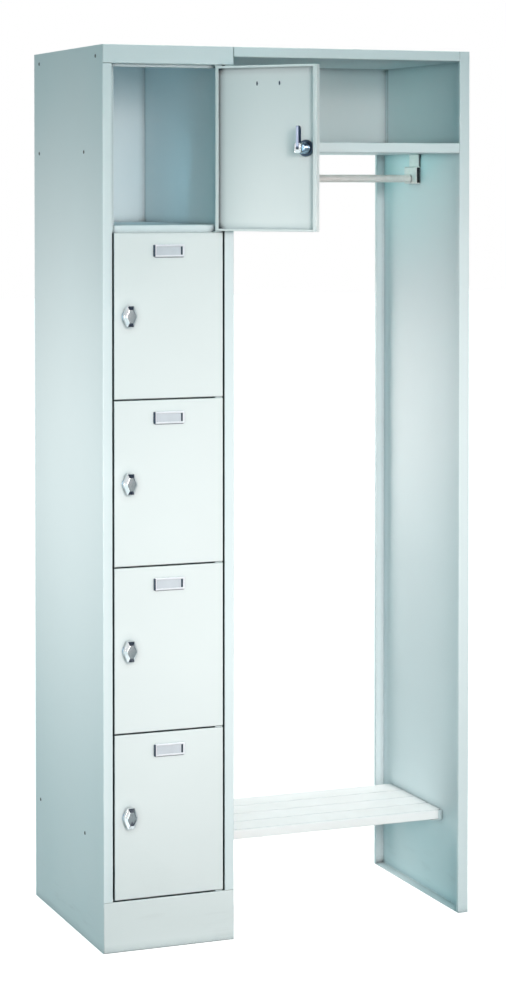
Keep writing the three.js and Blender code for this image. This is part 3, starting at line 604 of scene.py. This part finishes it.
# %% Turn knobs
# The facets' depths are in millimetres, as the levels are until they are multiplied by MM.
FACETS_FROM, FACETS_TO = 13.6, 17.2
FACE_HEIGHT_SHARE = 0.79
KNOB_BACK = -3.1 * MM
SHAFT_RADIUS, SHAFT_CHAMFER = 4 * MM, 0.6 * MM
SHAFT_START, SHAFT_END, SHAFT_SIDES = -12 * MM, 37.3 * MM, 40
knob_corners = np.array([
    (5.5, 19.5), (-5.5, 19.5), (-12, 2.5), (-12, -2.5),
    (-5.5, -19.5), (5.5, -19.5), (12, -2.5), (12, 2.5),
]) * MM
knob_levels = np.array([
    (0.0, -1.0, 0.5), (0.0, 0.9, 0.8), (0.25, 1.6, 0.9), (0.9, 2.5, 1.0), (2.0, 2.9, 1.0),
    (3.2, 3.0, 1.0), (12.2, 3.0, 1.0), (12.8, 2.9, 1.0), (13.2, 2.6, 1.0),
    (FACETS_FROM, 2.2, 1.0), (FACETS_TO, -0.7, 0.8),
    (17.6, -1.2, 0.7), (17.85, -1.8, 0.6), (18.0, -2.6, 0.5),
]) * MM
grip = capped(bevelled_form(knob_corners, knob_levels))
grip[..., 1] *= np.interp(grip[..., 2] / MM, (FACETS_FROM, FACETS_TO), (1.0, FACE_HEIGHT_SHARE))
grip = np.stack([grip[..., 0], KNOB_BACK - grip[..., 2], grip[..., 1]], axis=-1)
shaft_profile = np.array([
    (SHAFT_RADIUS, SHAFT_START), (SHAFT_RADIUS, SHAFT_END - SHAFT_CHAMFER),
    (SHAFT_RADIUS - SHAFT_CHAMFER, SHAFT_END),
])
shaft = capped(revolve(shaft_profile, SHAFT_SIDES))
for number in doors:
    mesh = skin(f"knob_{number}", [on_door(grip, number), on_door(shaft, number)])
    piece(f"knob_{number}", mesh, f"bolt_{number}", "chrome",
          stands_for=f"turn_knob_{number}", crease=28)
print("knob faces", len(mesh.polygons))

# %% [markdown]
# ## The lock body and its nut
#
# The body is a turned part: a flange against the door's face and a threaded barrel that
# passes through it. A thread is a wave that runs along the barrel and moves on by one crest
# for each turn, so the radius is worked out from the angle and the depth together. A screw
# modifier could wind a true helix, but its ends would have to be closed by hand. The nut is
# a ring with a fine knurl for the fingers, which is the same kind of wave round the outside.

# %% Lock bodies with a cut thread
# The profile is in millimetres, and so are these, until it is multiplied by MM.
BORE, BARREL, FLANGE = 4.3, 12.0, 15.0
BARREL_END, THREAD_FROM, THREAD_TO = 29.0, 0.4, 27.8
THREAD_PITCH, THREAD_DEPTH = 1.5 * MM, 0.8 * MM
BODY_SIDES = 48
depths = np.linspace(THREAD_FROM, THREAD_TO, 112)
threaded = np.stack([np.full_like(depths, BARREL), depths, np.ones_like(depths)], axis=-1)
before_thread = [
    (BORE, -2.8, 0), (6.5, -2.8, 0), (6.9, -2.4, 0), (8.6, -2.4, 0), (9.0, -2.8, 0),
    (FLANGE - 1.4, -2.8, 0), (FLANGE - 0.7, -2.65, 0), (FLANGE - 0.2, -2.2, 0),
    (FLANGE, -1.6, 0), (FLANGE, -0.3, 0), (BARREL, -0.3, 0), (BARREL, 0.2, 0),
]
after_thread = [
    (BARREL - 0.8, BARREL_END - 0.8, 0), (BARREL - 1.1, BARREL_END, 0), (BORE, BARREL_END, 0),
]
body_profile = np.concatenate([before_thread, threaded, after_thread]) * (MM, MM, 1)
angle = np.linspace(0, 2 * np.pi, BODY_SIDES, endpoint=False)
wave = 0.5 - 0.5 * np.cos(2 * np.pi * body_profile[:, 1:2] / THREAD_PITCH + angle)
radius = body_profile[:, :1] - body_profile[:, 2:3] * THREAD_DEPTH * wave
lock_body = np.stack([
    radius * np.cos(angle), body_profile[:, 1:2] * np.ones(BODY_SIDES), radius * np.sin(angle),
], axis=-1)
for number in doors:
    mesh = skin(f"lock_barrel_{number}", [on_door(lock_body, number)], closed_rows=True)
    piece(f"lock_barrel_{number}", mesh, f"door_{number}", "chrome", finish="barrel_steel",
          stands_for=f"lock_body_{number}", crease=50)
print("lock barrel faces", len(mesh.polygons))

# %% Knurled nuts
# As above, the profile and its four sizes are in millimetres.
NUT_INSIDE, NUT_OUTSIDE, NUT_FRONT, NUT_BACK = 12.3, 18.0, 1.3, 6.3
KNURLS, KNURL_DEPTH = 48, 0.45 * MM
nut_profile = np.array([
    (NUT_INSIDE, NUT_FRONT + 0.4, 0), (NUT_INSIDE + 0.4, NUT_FRONT, 0),
    (NUT_OUTSIDE - 1.1, NUT_FRONT, 0), (NUT_OUTSIDE - 0.5, NUT_FRONT + 0.15, 0),
    (NUT_OUTSIDE - 0.1, NUT_FRONT + 0.6, 1), (NUT_OUTSIDE, NUT_FRONT + 1, 1),
    (NUT_OUTSIDE, NUT_BACK - 1.2, 1), (NUT_OUTSIDE - 0.2, NUT_BACK - 0.7, 1),
    (NUT_OUTSIDE - 0.8, NUT_BACK - 0.2, 0), (NUT_OUTSIDE - 1.6, NUT_BACK, 0),
    (NUT_INSIDE + 0.7, NUT_BACK, 0), (NUT_INSIDE + 0.2, NUT_BACK - 0.2, 0),
    (NUT_INSIDE, NUT_BACK - 0.6, 0),
]) * (MM, MM, 1)
nut = revolve(nut_profile, 6 * KNURLS, flutes=KNURLS, flute_depth=KNURL_DEPTH)
for number in doors:
    mesh = skin(f"ring_nut_{number}", [on_door(nut, number)], closed_rows=True)
    piece(f"ring_nut_{number}", mesh, f"door_{number}", "dark_steel",
          stands_for=f"lock_nut_{number}", crease=50)
print("ring nut faces", len(mesh.polygons))

# %% [markdown]
# ## The cam arm
#
# Inside the door a hub sits on the shaft's end and a deep bar stands up from it. When the
# knob is turned, the bar swings behind the edge of the frame. Its tip is rounded on the
# side that meets that edge first. A low dark screw with a six-sided socket holds the hub, and
# its dark finish is painted shade for the socket. The bar is blued, and its edge away from the
# door is ground bright: a shaded and a lit copy of one steel, with painted shade and dark
# reflection on the sides and painted light on the face that catches the lamps. A mask in one
# material could paint that edge, but a thin strip with its own finish keeps the line straight.

# %% Bar, ground edge and hub
def with_round_edges(low, high, radius, fillet):
    """Levels from low to high whose outline is drawn in along a quarter circle at each end:
    at angle a the level has moved by radius (1 - cos a) and is inset by radius (1 - sin a)."""
    angle = np.linspace(0, np.pi / 2, 4)
    rise, inset = radius * (1 - np.cos(angle)), -radius * (1 - np.sin(angle))
    fillets = np.full_like(angle, fillet)
    first = np.stack([low + rise, inset, fillets], axis=-1)
    last = np.stack([high - rise[::-1], inset[::-1], fillets], axis=-1)
    return np.concatenate([first, last])


def rectangle(half_width, half_height):
    """Its four corners, anticlockwise: plus or minus each half size."""
    return np.array([(-1, -1), (1, -1), (1, 1), (-1, 1)]) * (half_width, half_height)


CAM_FRONT, CAM_BACK = 29.3 * MM, 41.3 * MM
# The ground strip's sizes; that strip is painted light on the bar's face.
GROUND_LIT_FROM, BAR_BACK = 42.2 * MM, 42.8 * MM
CAM_TOP, TIP_RADIUS = 47 * MM, 8 * MM
BAR_HALF, BAR_ROUND, BAR_FILLET = 3 * MM, 0.5 * MM, 0.3 * MM
GROUND_LIT_HALF, GROUND_LIT_ROUND, GROUND_LIT_FILLET = 2.8 * MM, 0.3 * MM, 0.8 * MM
GROUND_LIT_OVERLAP, GROUND_LIT_INSET = 0.2 * MM, 1 * MM
HUB_HALF_WIDTH, HUB_HALF_HEIGHT, HUB_ROUND, HUB_FILLET = 7.5 * MM, 11 * MM, 0.8 * MM, 4 * MM
tip = np.linspace(0, np.pi / 2, 9)
tip_arc = np.stack([
    CAM_FRONT + TIP_RADIUS * (1 - np.sin(tip)), CAM_TOP - TIP_RADIUS * (1 - np.cos(tip)),
], axis=-1)
bar_outline = np.concatenate([
    [(CAM_FRONT, 0.0), (GROUND_LIT_FROM, 0.0), (GROUND_LIT_FROM, CAM_TOP)], tip_arc])
bar = capped(bevelled_form(
    bar_outline, with_round_edges(-BAR_HALF, BAR_HALF, BAR_ROUND, BAR_FILLET)))
bar = np.stack([bar[..., 2], bar[..., 0], bar[..., 1]], axis=-1)
ground_lit_edge = capped(bevelled_form(
    rectangle(GROUND_LIT_HALF, CAM_TOP / 2 - GROUND_LIT_INSET),
    with_round_edges(GROUND_LIT_FROM - GROUND_LIT_OVERLAP, BAR_BACK, GROUND_LIT_ROUND, GROUND_LIT_FILLET)))
ground_lit_edge = np.stack([
    ground_lit_edge[..., 0], ground_lit_edge[..., 2], ground_lit_edge[..., 1] + CAM_TOP / 2], axis=-1)
hub = capped(bevelled_form(
    rectangle(HUB_HALF_WIDTH, HUB_HALF_HEIGHT),
    with_round_edges(CAM_FRONT, CAM_BACK, HUB_ROUND, HUB_FILLET), arc=8))
hub = np.stack([hub[..., 0], hub[..., 2], hub[..., 1]], axis=-1)

# %% The screw in the hub
SCREW_SIDES = 72
around = np.linspace(0, 2 * np.pi, SCREW_SIDES, endpoint=False)
six_sided = np.cos(np.pi / 6) / np.cos((around % (np.pi / 3)) - np.pi / 6)
screw_rows = np.array([
    (0.0, 41.0, 1), (1.8, 41.0, 1), (1.8, 43.2, 1), (2.0, 43.4, 0.4), (2.6, 43.35, 0),
    (3.0, 43.1, 0), (3.25, 42.6, 0), (3.3, 42.1, 0), (3.3, 40.8, 0), (0.0, 40.8, 0),
]) * (MM, MM, 1)
shape = 1 + screw_rows[:, 2:3] * (six_sided - 1)
screw = np.stack([
    screw_rows[:, :1] * shape * np.cos(around), screw_rows[:, 1:2] * np.ones(SCREW_SIDES),
    screw_rows[:, :1] * shape * np.sin(around),
], axis=-1)
print("screw rows", len(screw_rows))

# %% Cam arms
for number in doors:
    mesh = skin(f"cam_hub_{number}", [on_door(hub, number)])
    piece(f"cam_hub_{number}", mesh, f"bolt_{number}", "chrome",
          stands_for=f"cam_arm_{number}")
    # The bar's blued sides are painted shade, and its ground strip is painted light.
    piece(f"cam_bar_{number}", skin(f"cam_bar_{number}", [on_door(bar, number)]),
          f"bolt_{number}", "chrome", finish="blued_shaded_steel")
    piece(f"cam_edge_{number}", skin(f"cam_edge_{number}", [on_door(ground_lit_edge, number)]),
          f"bolt_{number}", "chrome", finish="ground_lit_steel")
    # The screw's dark finish is painted shade for its socket.
    piece(f"cam_screw_{number}", skin(f"cam_screw_{number}", [on_door(screw, number)]),
          f"bolt_{number}", "chrome", finish="dark_steel")
print("cam hub faces", len(mesh.polygons))

# %% [markdown]
# ## Card holders and name cards
#
# A stamped holder has rolled rails round its window. Their section is a C, hollow behind, so
# that the card's edges slide along inside it, and carrying that section round the window
# gives soft corners. Behind the card lies a dark plate that sits a little low, so a thin line
# of it shows under the rails, with an upright stop at its left-hand end. That line is a painted
# shadow under the rails, and the dark stop is painted shade on the holder's left-hand end. Two
# narrow prongs pass from the plate through the door and are bent flat. The blank card stops
# short of the window's right-hand end, where the dark plate shows as painted shade in the slot,
# and bows a little, so its face catches light differently from the door.

# %% The holders' rolled rails
HOLDER_ACROSS, HOLDER_UP = 92.5 * MM, 139.7 * MM
WINDOW_HALF_WIDTH, WINDOW_HALF_HEIGHT, WINDOW_ASIDE = 30 * MM, 9 * MM, 0.5 * MM


def on_holder(form, number):
    """A form given as (across, up, into) from the holder's middle, moved to its door."""
    points = np.stack([form[..., 0] + HOLDER_ACROSS, form[..., 2], form[..., 1] + HOLDER_UP],
                      axis=-1)
    return on_door(points, number)


window = rectangle(WINDOW_HALF_WIDTH, WINDOW_HALF_HEIGHT)
rolled_rail = np.array([
    (-2.45, 0.0, 0.3), (-2.8, 0.1, 0.4), (-3.15, 0.5, 0.6), (-3.4, 1.2, 1.0), (-3.5, 2.1, 1.4),
    (-3.4, 3.0, 1.7), (-3.1, 3.7, 1.9), (-2.6, 4.2, 2.1), (-1.9, 4.45, 2.2), (-1.2, 4.5, 2.2),
    (-0.3, 4.5, 2.2), (-0.3, 3.9, 1.7), (-1.2, 3.9, 1.7), (-1.9, 3.85, 1.6), (-2.4, 3.6, 1.5),
    (-2.7, 3.1, 1.2), (-2.85, 2.1, 0.9), (-2.8, 1.2, 0.6), (-2.6, 0.5, 0.4),
]) * MM
rails = bevelled_form(window, rolled_rail, arc=6) + (WINDOW_ASIDE, 0, 0)
for number in doors:
    mesh = skin(f"card_frame_{number}", [on_holder(rails, number)], closed_rows=True)
    piece(f"card_frame_{number}", mesh, f"door_{number}", "chrome", finish="holder_metal",
          stands_for=f"card_holder_{number}", crease=50)
print("card frame faces", len(mesh.polygons))

# %% The holders' back plates, end stops and prongs
# The plate hangs low: its dark edge is a painted shadow under the rails, the stop painted shade.
PLATE_HALF_WIDTH, PLATE_HALF_HEIGHT, PLATE_LOWER = 33.5 * MM, 12.4 * MM, 2.2 * MM
STOP_HALF_WIDTH, STOP_HALF_HEIGHT, STOP_ASIDE = 1.7 * MM, 12.6 * MM, -34.1 * MM
PRONG_HALF_WIDTH, PRONG_HALF_HEIGHT, PRONG_SPREAD = 1.5 * MM, 4.3 * MM, 27.5 * MM
plate_levels = np.array([(-0.32, 0, 2), (-0.85, 0, 2), (-1.0, -0.15, 1.9)]) * MM
plate = capped(bevelled_form(rectangle(PLATE_HALF_WIDTH, PLATE_HALF_HEIGHT), plate_levels))
plate = plate - (0, PLATE_LOWER, 0)
stop_levels = np.array([(-0.3, 0, 0.3), (-4.6, 0, 0.3), (-5.0, -0.3, 0.2)]) * MM
stop = capped(bevelled_form(rectangle(STOP_HALF_WIDTH, STOP_HALF_HEIGHT), stop_levels))
prong_levels = np.array([(-0.5, 0, 0.8), (1.4, 0, 0.8), (1.6, -0.2, 0.7)]) * MM
prong = capped(bevelled_form(rectangle(PRONG_HALF_WIDTH, PRONG_HALF_HEIGHT), prong_levels))
for number in doors:
    parts = [on_holder(plate, number), on_holder(stop + (STOP_ASIDE, 0, 0), number)]
    parts += [on_holder(prong + (aside, 0, 0), number) for aside in (-PRONG_SPREAD, PRONG_SPREAD)]
    # Dark steel on plate and stop is painted shade: under the rails, in the slot and at the left end.
    piece(f"holder_back_{number}", skin(f"holder_back_{number}", parts), f"door_{number}",
          "chrome", finish="dark_steel")
print("back plates on", len(doors), "doors")

# %% Name cards
# The card stops short, so the dark plate shows at the window's right end as painted shade.
CARD_LEFT, CARD_RIGHT, CARD_HALF_HEIGHT = -33 * MM, 26.5 * MM, 11 * MM
CARD_INTO, CARD_THICKNESS, BOW = -1.9 * MM, 0.25 * MM, 0.25 * MM
shares = np.linspace(-1, 1, 25)
section = np.array([(-1, -1), (-1, 1), (1, 1), (1, -1)])
card = np.zeros((len(shares), len(section), 3))
card[..., 0] = np.interp(shares, (-1, 1), (CARD_LEFT, CARD_RIGHT))[:, None]
card[..., 1] = section[:, 1] * CARD_HALF_HEIGHT
card[..., 2] = (CARD_INTO - BOW * (1 - shares[:, None] ** 2)
                + section[:, 0] * CARD_THICKNESS / 2)
for number in doors:
    mesh = skin(f"name_card_{number}", [on_holder(capped(card), number)])
    piece(f"name_card_{number}", mesh, f"door_{number}", "bench_paint", finish="name_card",
          crease=30)
print("card faces", len(mesh.polygons))

# %% [markdown]
# ## The coat rail
#
# A drawn steel tube, 18 mm across, hangs under the hat shelf. It is the one long round thing
# on the unit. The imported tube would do, but its flats show in a long highlight, so its wall
# and its softened ends are turned again with enough sides to give an unbroken one.

# %% Coat rail
rail_low, rail_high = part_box("coat_rail")
rail_middle = (rail_low + rail_high) / 2
OUTSIDE, WALL, LIP, RAIL_SIDES = 9 * MM, 1.2 * MM, 0.3 * MM, 96
half = (rail_high.x - rail_low.x) / 2
rail_profile = np.array([
    (OUTSIDE - LIP, -half), (OUTSIDE, -half + LIP), (OUTSIDE, half - LIP),
    (OUTSIDE - LIP, half), (OUTSIDE - WALL, half), (OUTSIDE - WALL, -half),
])
tube = revolve(rail_profile, RAIL_SIDES)
tube = np.stack([tube[..., 1], tube[..., 0], tube[..., 2]], axis=-1) + np.array(rail_middle)
piece("rail_tube", skin("rail_tube", [tube], closed_rows=True), "carcass", "rail_steel",
      stands_for="coat_rail", crease=50)
print("rail from", round(rail_low.x, 4), "to", round(rail_high.x, 4))

# %% [markdown]
# ## Plugs in the joining holes
#
# Units stand in rows, and six holes in each outer wall take the bolts that join them. Where
# the wall stays free, a dark plug with a shallow dished head closes each hole, so the wall
# shows a dark dot. A dot of colour in the paint could stand for it, but a plug also catches a
# little light on its rim. The holes' places run from the wall's lower front corner, and the
# middle row stands as high as the hat shelf's underside, so that height is read from its box.

# %% Plugs in the left-hand wall
PLUG_SIDES = 40
plug_profile = np.array([
    (0.0, -0.25), (1.6, -0.3), (2.8, -0.5), (3.4, -0.75), (3.75, -0.6), (3.9, -0.3),
    (3.9, -0.02), (3.4, -0.02), (3.4, 1.6), (3.1, 2.0), (0.0, 2.0),
]) * MM
plug = revolve(plug_profile, PLUG_SIDES)
plug = np.stack([plug[..., 1], plug[..., 0], plug[..., 2]], axis=-1)
TOP_FRONT_HOLE, FRONT_HOLES, BACK_HOLES = 48 * MM, 129 * MM, 459 * MM
TOP_ROW, FOOT_ROW = 1927 * MM, 232 * MM
wall_corner = np.array(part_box("side_wall_left")[0])
shelf_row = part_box("hat_shelf")[0].z
plug_places = [
    (TOP_FRONT_HOLE, TOP_ROW), (BACK_HOLES, TOP_ROW), (FRONT_HOLES, shelf_row),
    (BACK_HOLES, shelf_row), (FRONT_HOLES, FOOT_ROW), (BACK_HOLES, FOOT_ROW),
]
parts = [plug + wall_corner + (0, back, up) for back, up in plug_places]
piece("hole_plugs", skin("hole_plugs", parts), "carcass", "dark_steel", finish="plug_black",
      crease=50)
print("plugs", len(plug_places))

# %% [markdown]
# ## Studio
#
# The picture has no visible room: the unit stands in white. The floor and the world look
# white to the camera and in reflections, but the light that they give is separate: a faint
# teal from the world, which fills the shade. Light Path tells the two kinds of ray apart.

# %% Floor and world
FLOOR_REACH, FLOOR_LOWER, FLOOR_GLOW = 30, 0.3 * MM, 0.88
FILL_COLOUR, WHITE = (0.17, 0.37, 0.385, 1.0), (1.0, 1.0, 1.0, 1.0)


def looked_at(tree):
    """1 for a ray from the camera, a reflection or glass, and 0 for one that carries light."""
    rays = add(tree, "LightPath").outputs
    seen = calculate(tree, "MAXIMUM", rays["Is Camera Ray"], rays["Is Glossy Ray"])
    return calculate(tree, "MAXIMUM", seen, rays["Is Transmission Ray"])


floor_mesh = bpy.data.meshes.new("floor")
floor_mesh.from_pydata(
    [(x * FLOOR_REACH, y * FLOOR_REACH, -FLOOR_LOWER) for x, y in rectangle(1, 1)],
    [], [(0, 1, 2, 3)])
floor = bpy.data.objects.new("floor", floor_mesh)
bpy.context.scene.collection.objects.link(floor)
made, tree, shader = start_material("floor")
seen = looked_at(tree)
tree.links.new(blend(tree, seen, written(60, 66, 68), written(225, 226, 226)),
               shader.inputs["Base Color"])
shader.inputs["Roughness"].default_value = 0.9
shader.inputs["Specular IOR Level"].default_value = 0.1
shader.inputs["Emission Color"].default_value = WHITE
glow = calculate(tree, "MULTIPLY", seen, FLOOR_GLOW)
tree.links.new(glow, shader.inputs["Emission Strength"])
floor_mesh.materials.append(made)

world = bpy.data.worlds.new("studio")
bpy.context.scene.world = world
world.use_nodes = True
tree = world.node_tree
tree.nodes.clear()
surround = blend(tree, looked_at(tree), FILL_COLOUR, WHITE)
background = add(tree, "Background", {"Color": surround})
add(tree, "OutputWorld", {"Surface": background.outputs[0]})
print("floor half size", FLOOR_REACH, "m")

# %% [markdown]
# ## Lamps
#
# One big lamp could light it all, but then every sheet would be one flat tone. The soft lamps
# in front and at the left aim at waist height, so the paint is brightest half way up and
# falls off towards the top and the floor. Others light the far side, the top, the back, the
# bench and the bay's end panel. Three small tinted ones stand in the open locker, in the hat
# space and under the bench, because shade inside painted steel takes on the colour of the
# paint. Lamps close to the unit would show as bright spots in the metal, so reflections
# leave them out.

# %% Lamps
def soft_lamp(name, place, target, size, power, spread, colour, mirrored=True):
    """A square lamp at place that faces target, with its power in watts. A grid in front
    of it keeps its light within spread degrees, so that it fades to the sides. A lamp that
    isn't mirrored leaves no bright spot on what shines."""
    data = bpy.data.lights.new(name, "AREA")
    data.size, data.energy, data.spread, data.color = size, power, math.radians(spread), colour
    lamp = bpy.data.objects.new(name, data)
    lamp.location = place
    aim = Vector(target) - Vector(place)
    lamp.rotation_euler = aim.to_track_quat("-Z", "Y").to_euler()
    lamp.visible_camera = False
    lamp.visible_glossy = mirrored
    bpy.context.scene.collection.objects.link(lamp)
    print(name, power, "W")


WARM, COOL = (1.0, 0.86, 0.82), (0.63, 0.95, 1.0)
soft_lamp("front_lamp", (-0.6, -4.2, 1.9), (0, 0, 0.7), 1.6, 13.9, 52, WARM)
soft_lamp("right_lamp", (0.9, -3.6, 1.0), (0, 0, 0.7), 1.2, 3.6, 180, WARM)
soft_lamp("left_lamp", (-1.9, -3.0, 1.3), (-0.1, 0, 1.1), 1.2, 3.8, 90, COOL)
soft_lamp("low_lamp", (-0.1, -2.6, 0.45), (-0.1, -0.15, 0.45), 0.9, 1.2, 50, WARM)
soft_lamp("side_lamp", (-2.6, 0.1, 1.1), (-0.435, 0.1, 1.05), 0.6, 2.75, 50, WARM)
soft_lamp("side_low_lamp", (-2.2, 0.1, 0.4), (-0.435, 0.1, 0.3), 0.6, 0.35, 60, (0.82, 0.98, 1.0))
soft_lamp("far_side_lamp", (3.0, 0.2, 1.2), (0.435, 0.2, 1.1), 0.8, 3.0, 60, WARM)
soft_lamp("top_lamp", (0.0, 0.2, 4.6), (0.0, 0.2, 1.95), 0.8, 2.2, 40, WARM)
soft_lamp("back_lamp", (0.3, 3.8, 1.4), (0.0, 0.46, 1.2), 0.6, 2.2, 50, WARM)
soft_lamp("bay_lamp", (-0.1, 1.2, 1.1), (0.435, 0.05, 0.95), 0.6, 3.0, 80, WARM, mirrored=False)
soft_lamp("edge_lamp", (1.2, -2.5, 1.1), (0.4, 0, 1.3), 0.8, 0.7, 40, WARM)
soft_lamp("locker_lamp", (-0.32, 0.02, 1.66), (-0.25, 0.4, 1.72), 0.16, 0.075, 160,
          (0.38, 0.8, 1.0), mirrored=False)
soft_lamp("shelf_lamp", (-0.1, 0.15, 1.71), (0.43, 0.15, 1.76), 0.1, 0.2, 70,
          (0.35, 1.0, 0.95), mirrored=False)
soft_lamp("foot_lamp", (-0.1, 0.1, 0.14), (0.43, 0.1, 0.12), 0.12, 0.16, 90,
          (0.53, 0.98, 1.0), mirrored=False)
soft_lamp("bench_lamp", (0.2, 1.6, 1.9), (0.15, 0.1, 0.2), 0.6, 2.5, 60, WARM, mirrored=False)

# %% [markdown]
# ## Flags for the bright metal
#
# Polished metal in an all-white room has no shape, because every facet mirrors the same
# white. A photographer stands dark cards round it. These are seen in reflections only: one
# overhead, one low in front, one at the right, and a larger grey-green one in front of the
# doors, so that a knob's top, foot and right-hand facets go dark and its left ones stay
# bright. The lowest knob mirrors the floor, so a last card lies there in the same tone.

# %% Flags
def flag(name, middle, across, up, tone):
    """A card round middle whose half sides are the vectors across and up: each corner is
    the middle plus or minus both."""
    corners = np.array(middle) + rectangle(1, 1) @ np.array([across, up])
    mesh = bpy.data.meshes.new(name)
    mesh.from_pydata(corners.tolist(), [], [(0, 1, 2, 3)])
    made, tree, shader = start_material(name)
    shader.inputs["Base Color"].default_value = (0, 0, 0, 1)
    shader.inputs["Emission Color"].default_value = tone
    shader.inputs["Emission Strength"].default_value = 1.0
    mesh.materials.append(made)
    card = bpy.data.objects.new(name, mesh)
    bpy.context.scene.collection.objects.link(card)
    card.visible_camera = card.visible_diffuse = card.visible_shadow = False
    card.visible_transmission = False
    print(name, "seen in reflections only")


DARK, GREY_GREEN = written(44, 54, 72), written(146, 158, 160)
flag("overhead_flag", (0.2, -1.1, 2.5), (0.8, 0, 0), (0, 0.9, 0), DARK)
flag("low_flag", (0.0, -0.56, 0.01), (0.45, 0, 0), (0, 0.36, 0), DARK)
flag("right_flag", (0.9, -0.4, 1.2), (0, 0.8, 0), (0, 0, 1.2), DARK)
flag("front_flag", (0.5, -1.8, 0.9), (0.9, 0, 0), (0, 0, 0.9), GREY_GREEN)
flag("floor_flag", (0.5, -1.36, 0.01), (0.9, 0, 0), (0, 0.44, 0), GREY_GREEN)
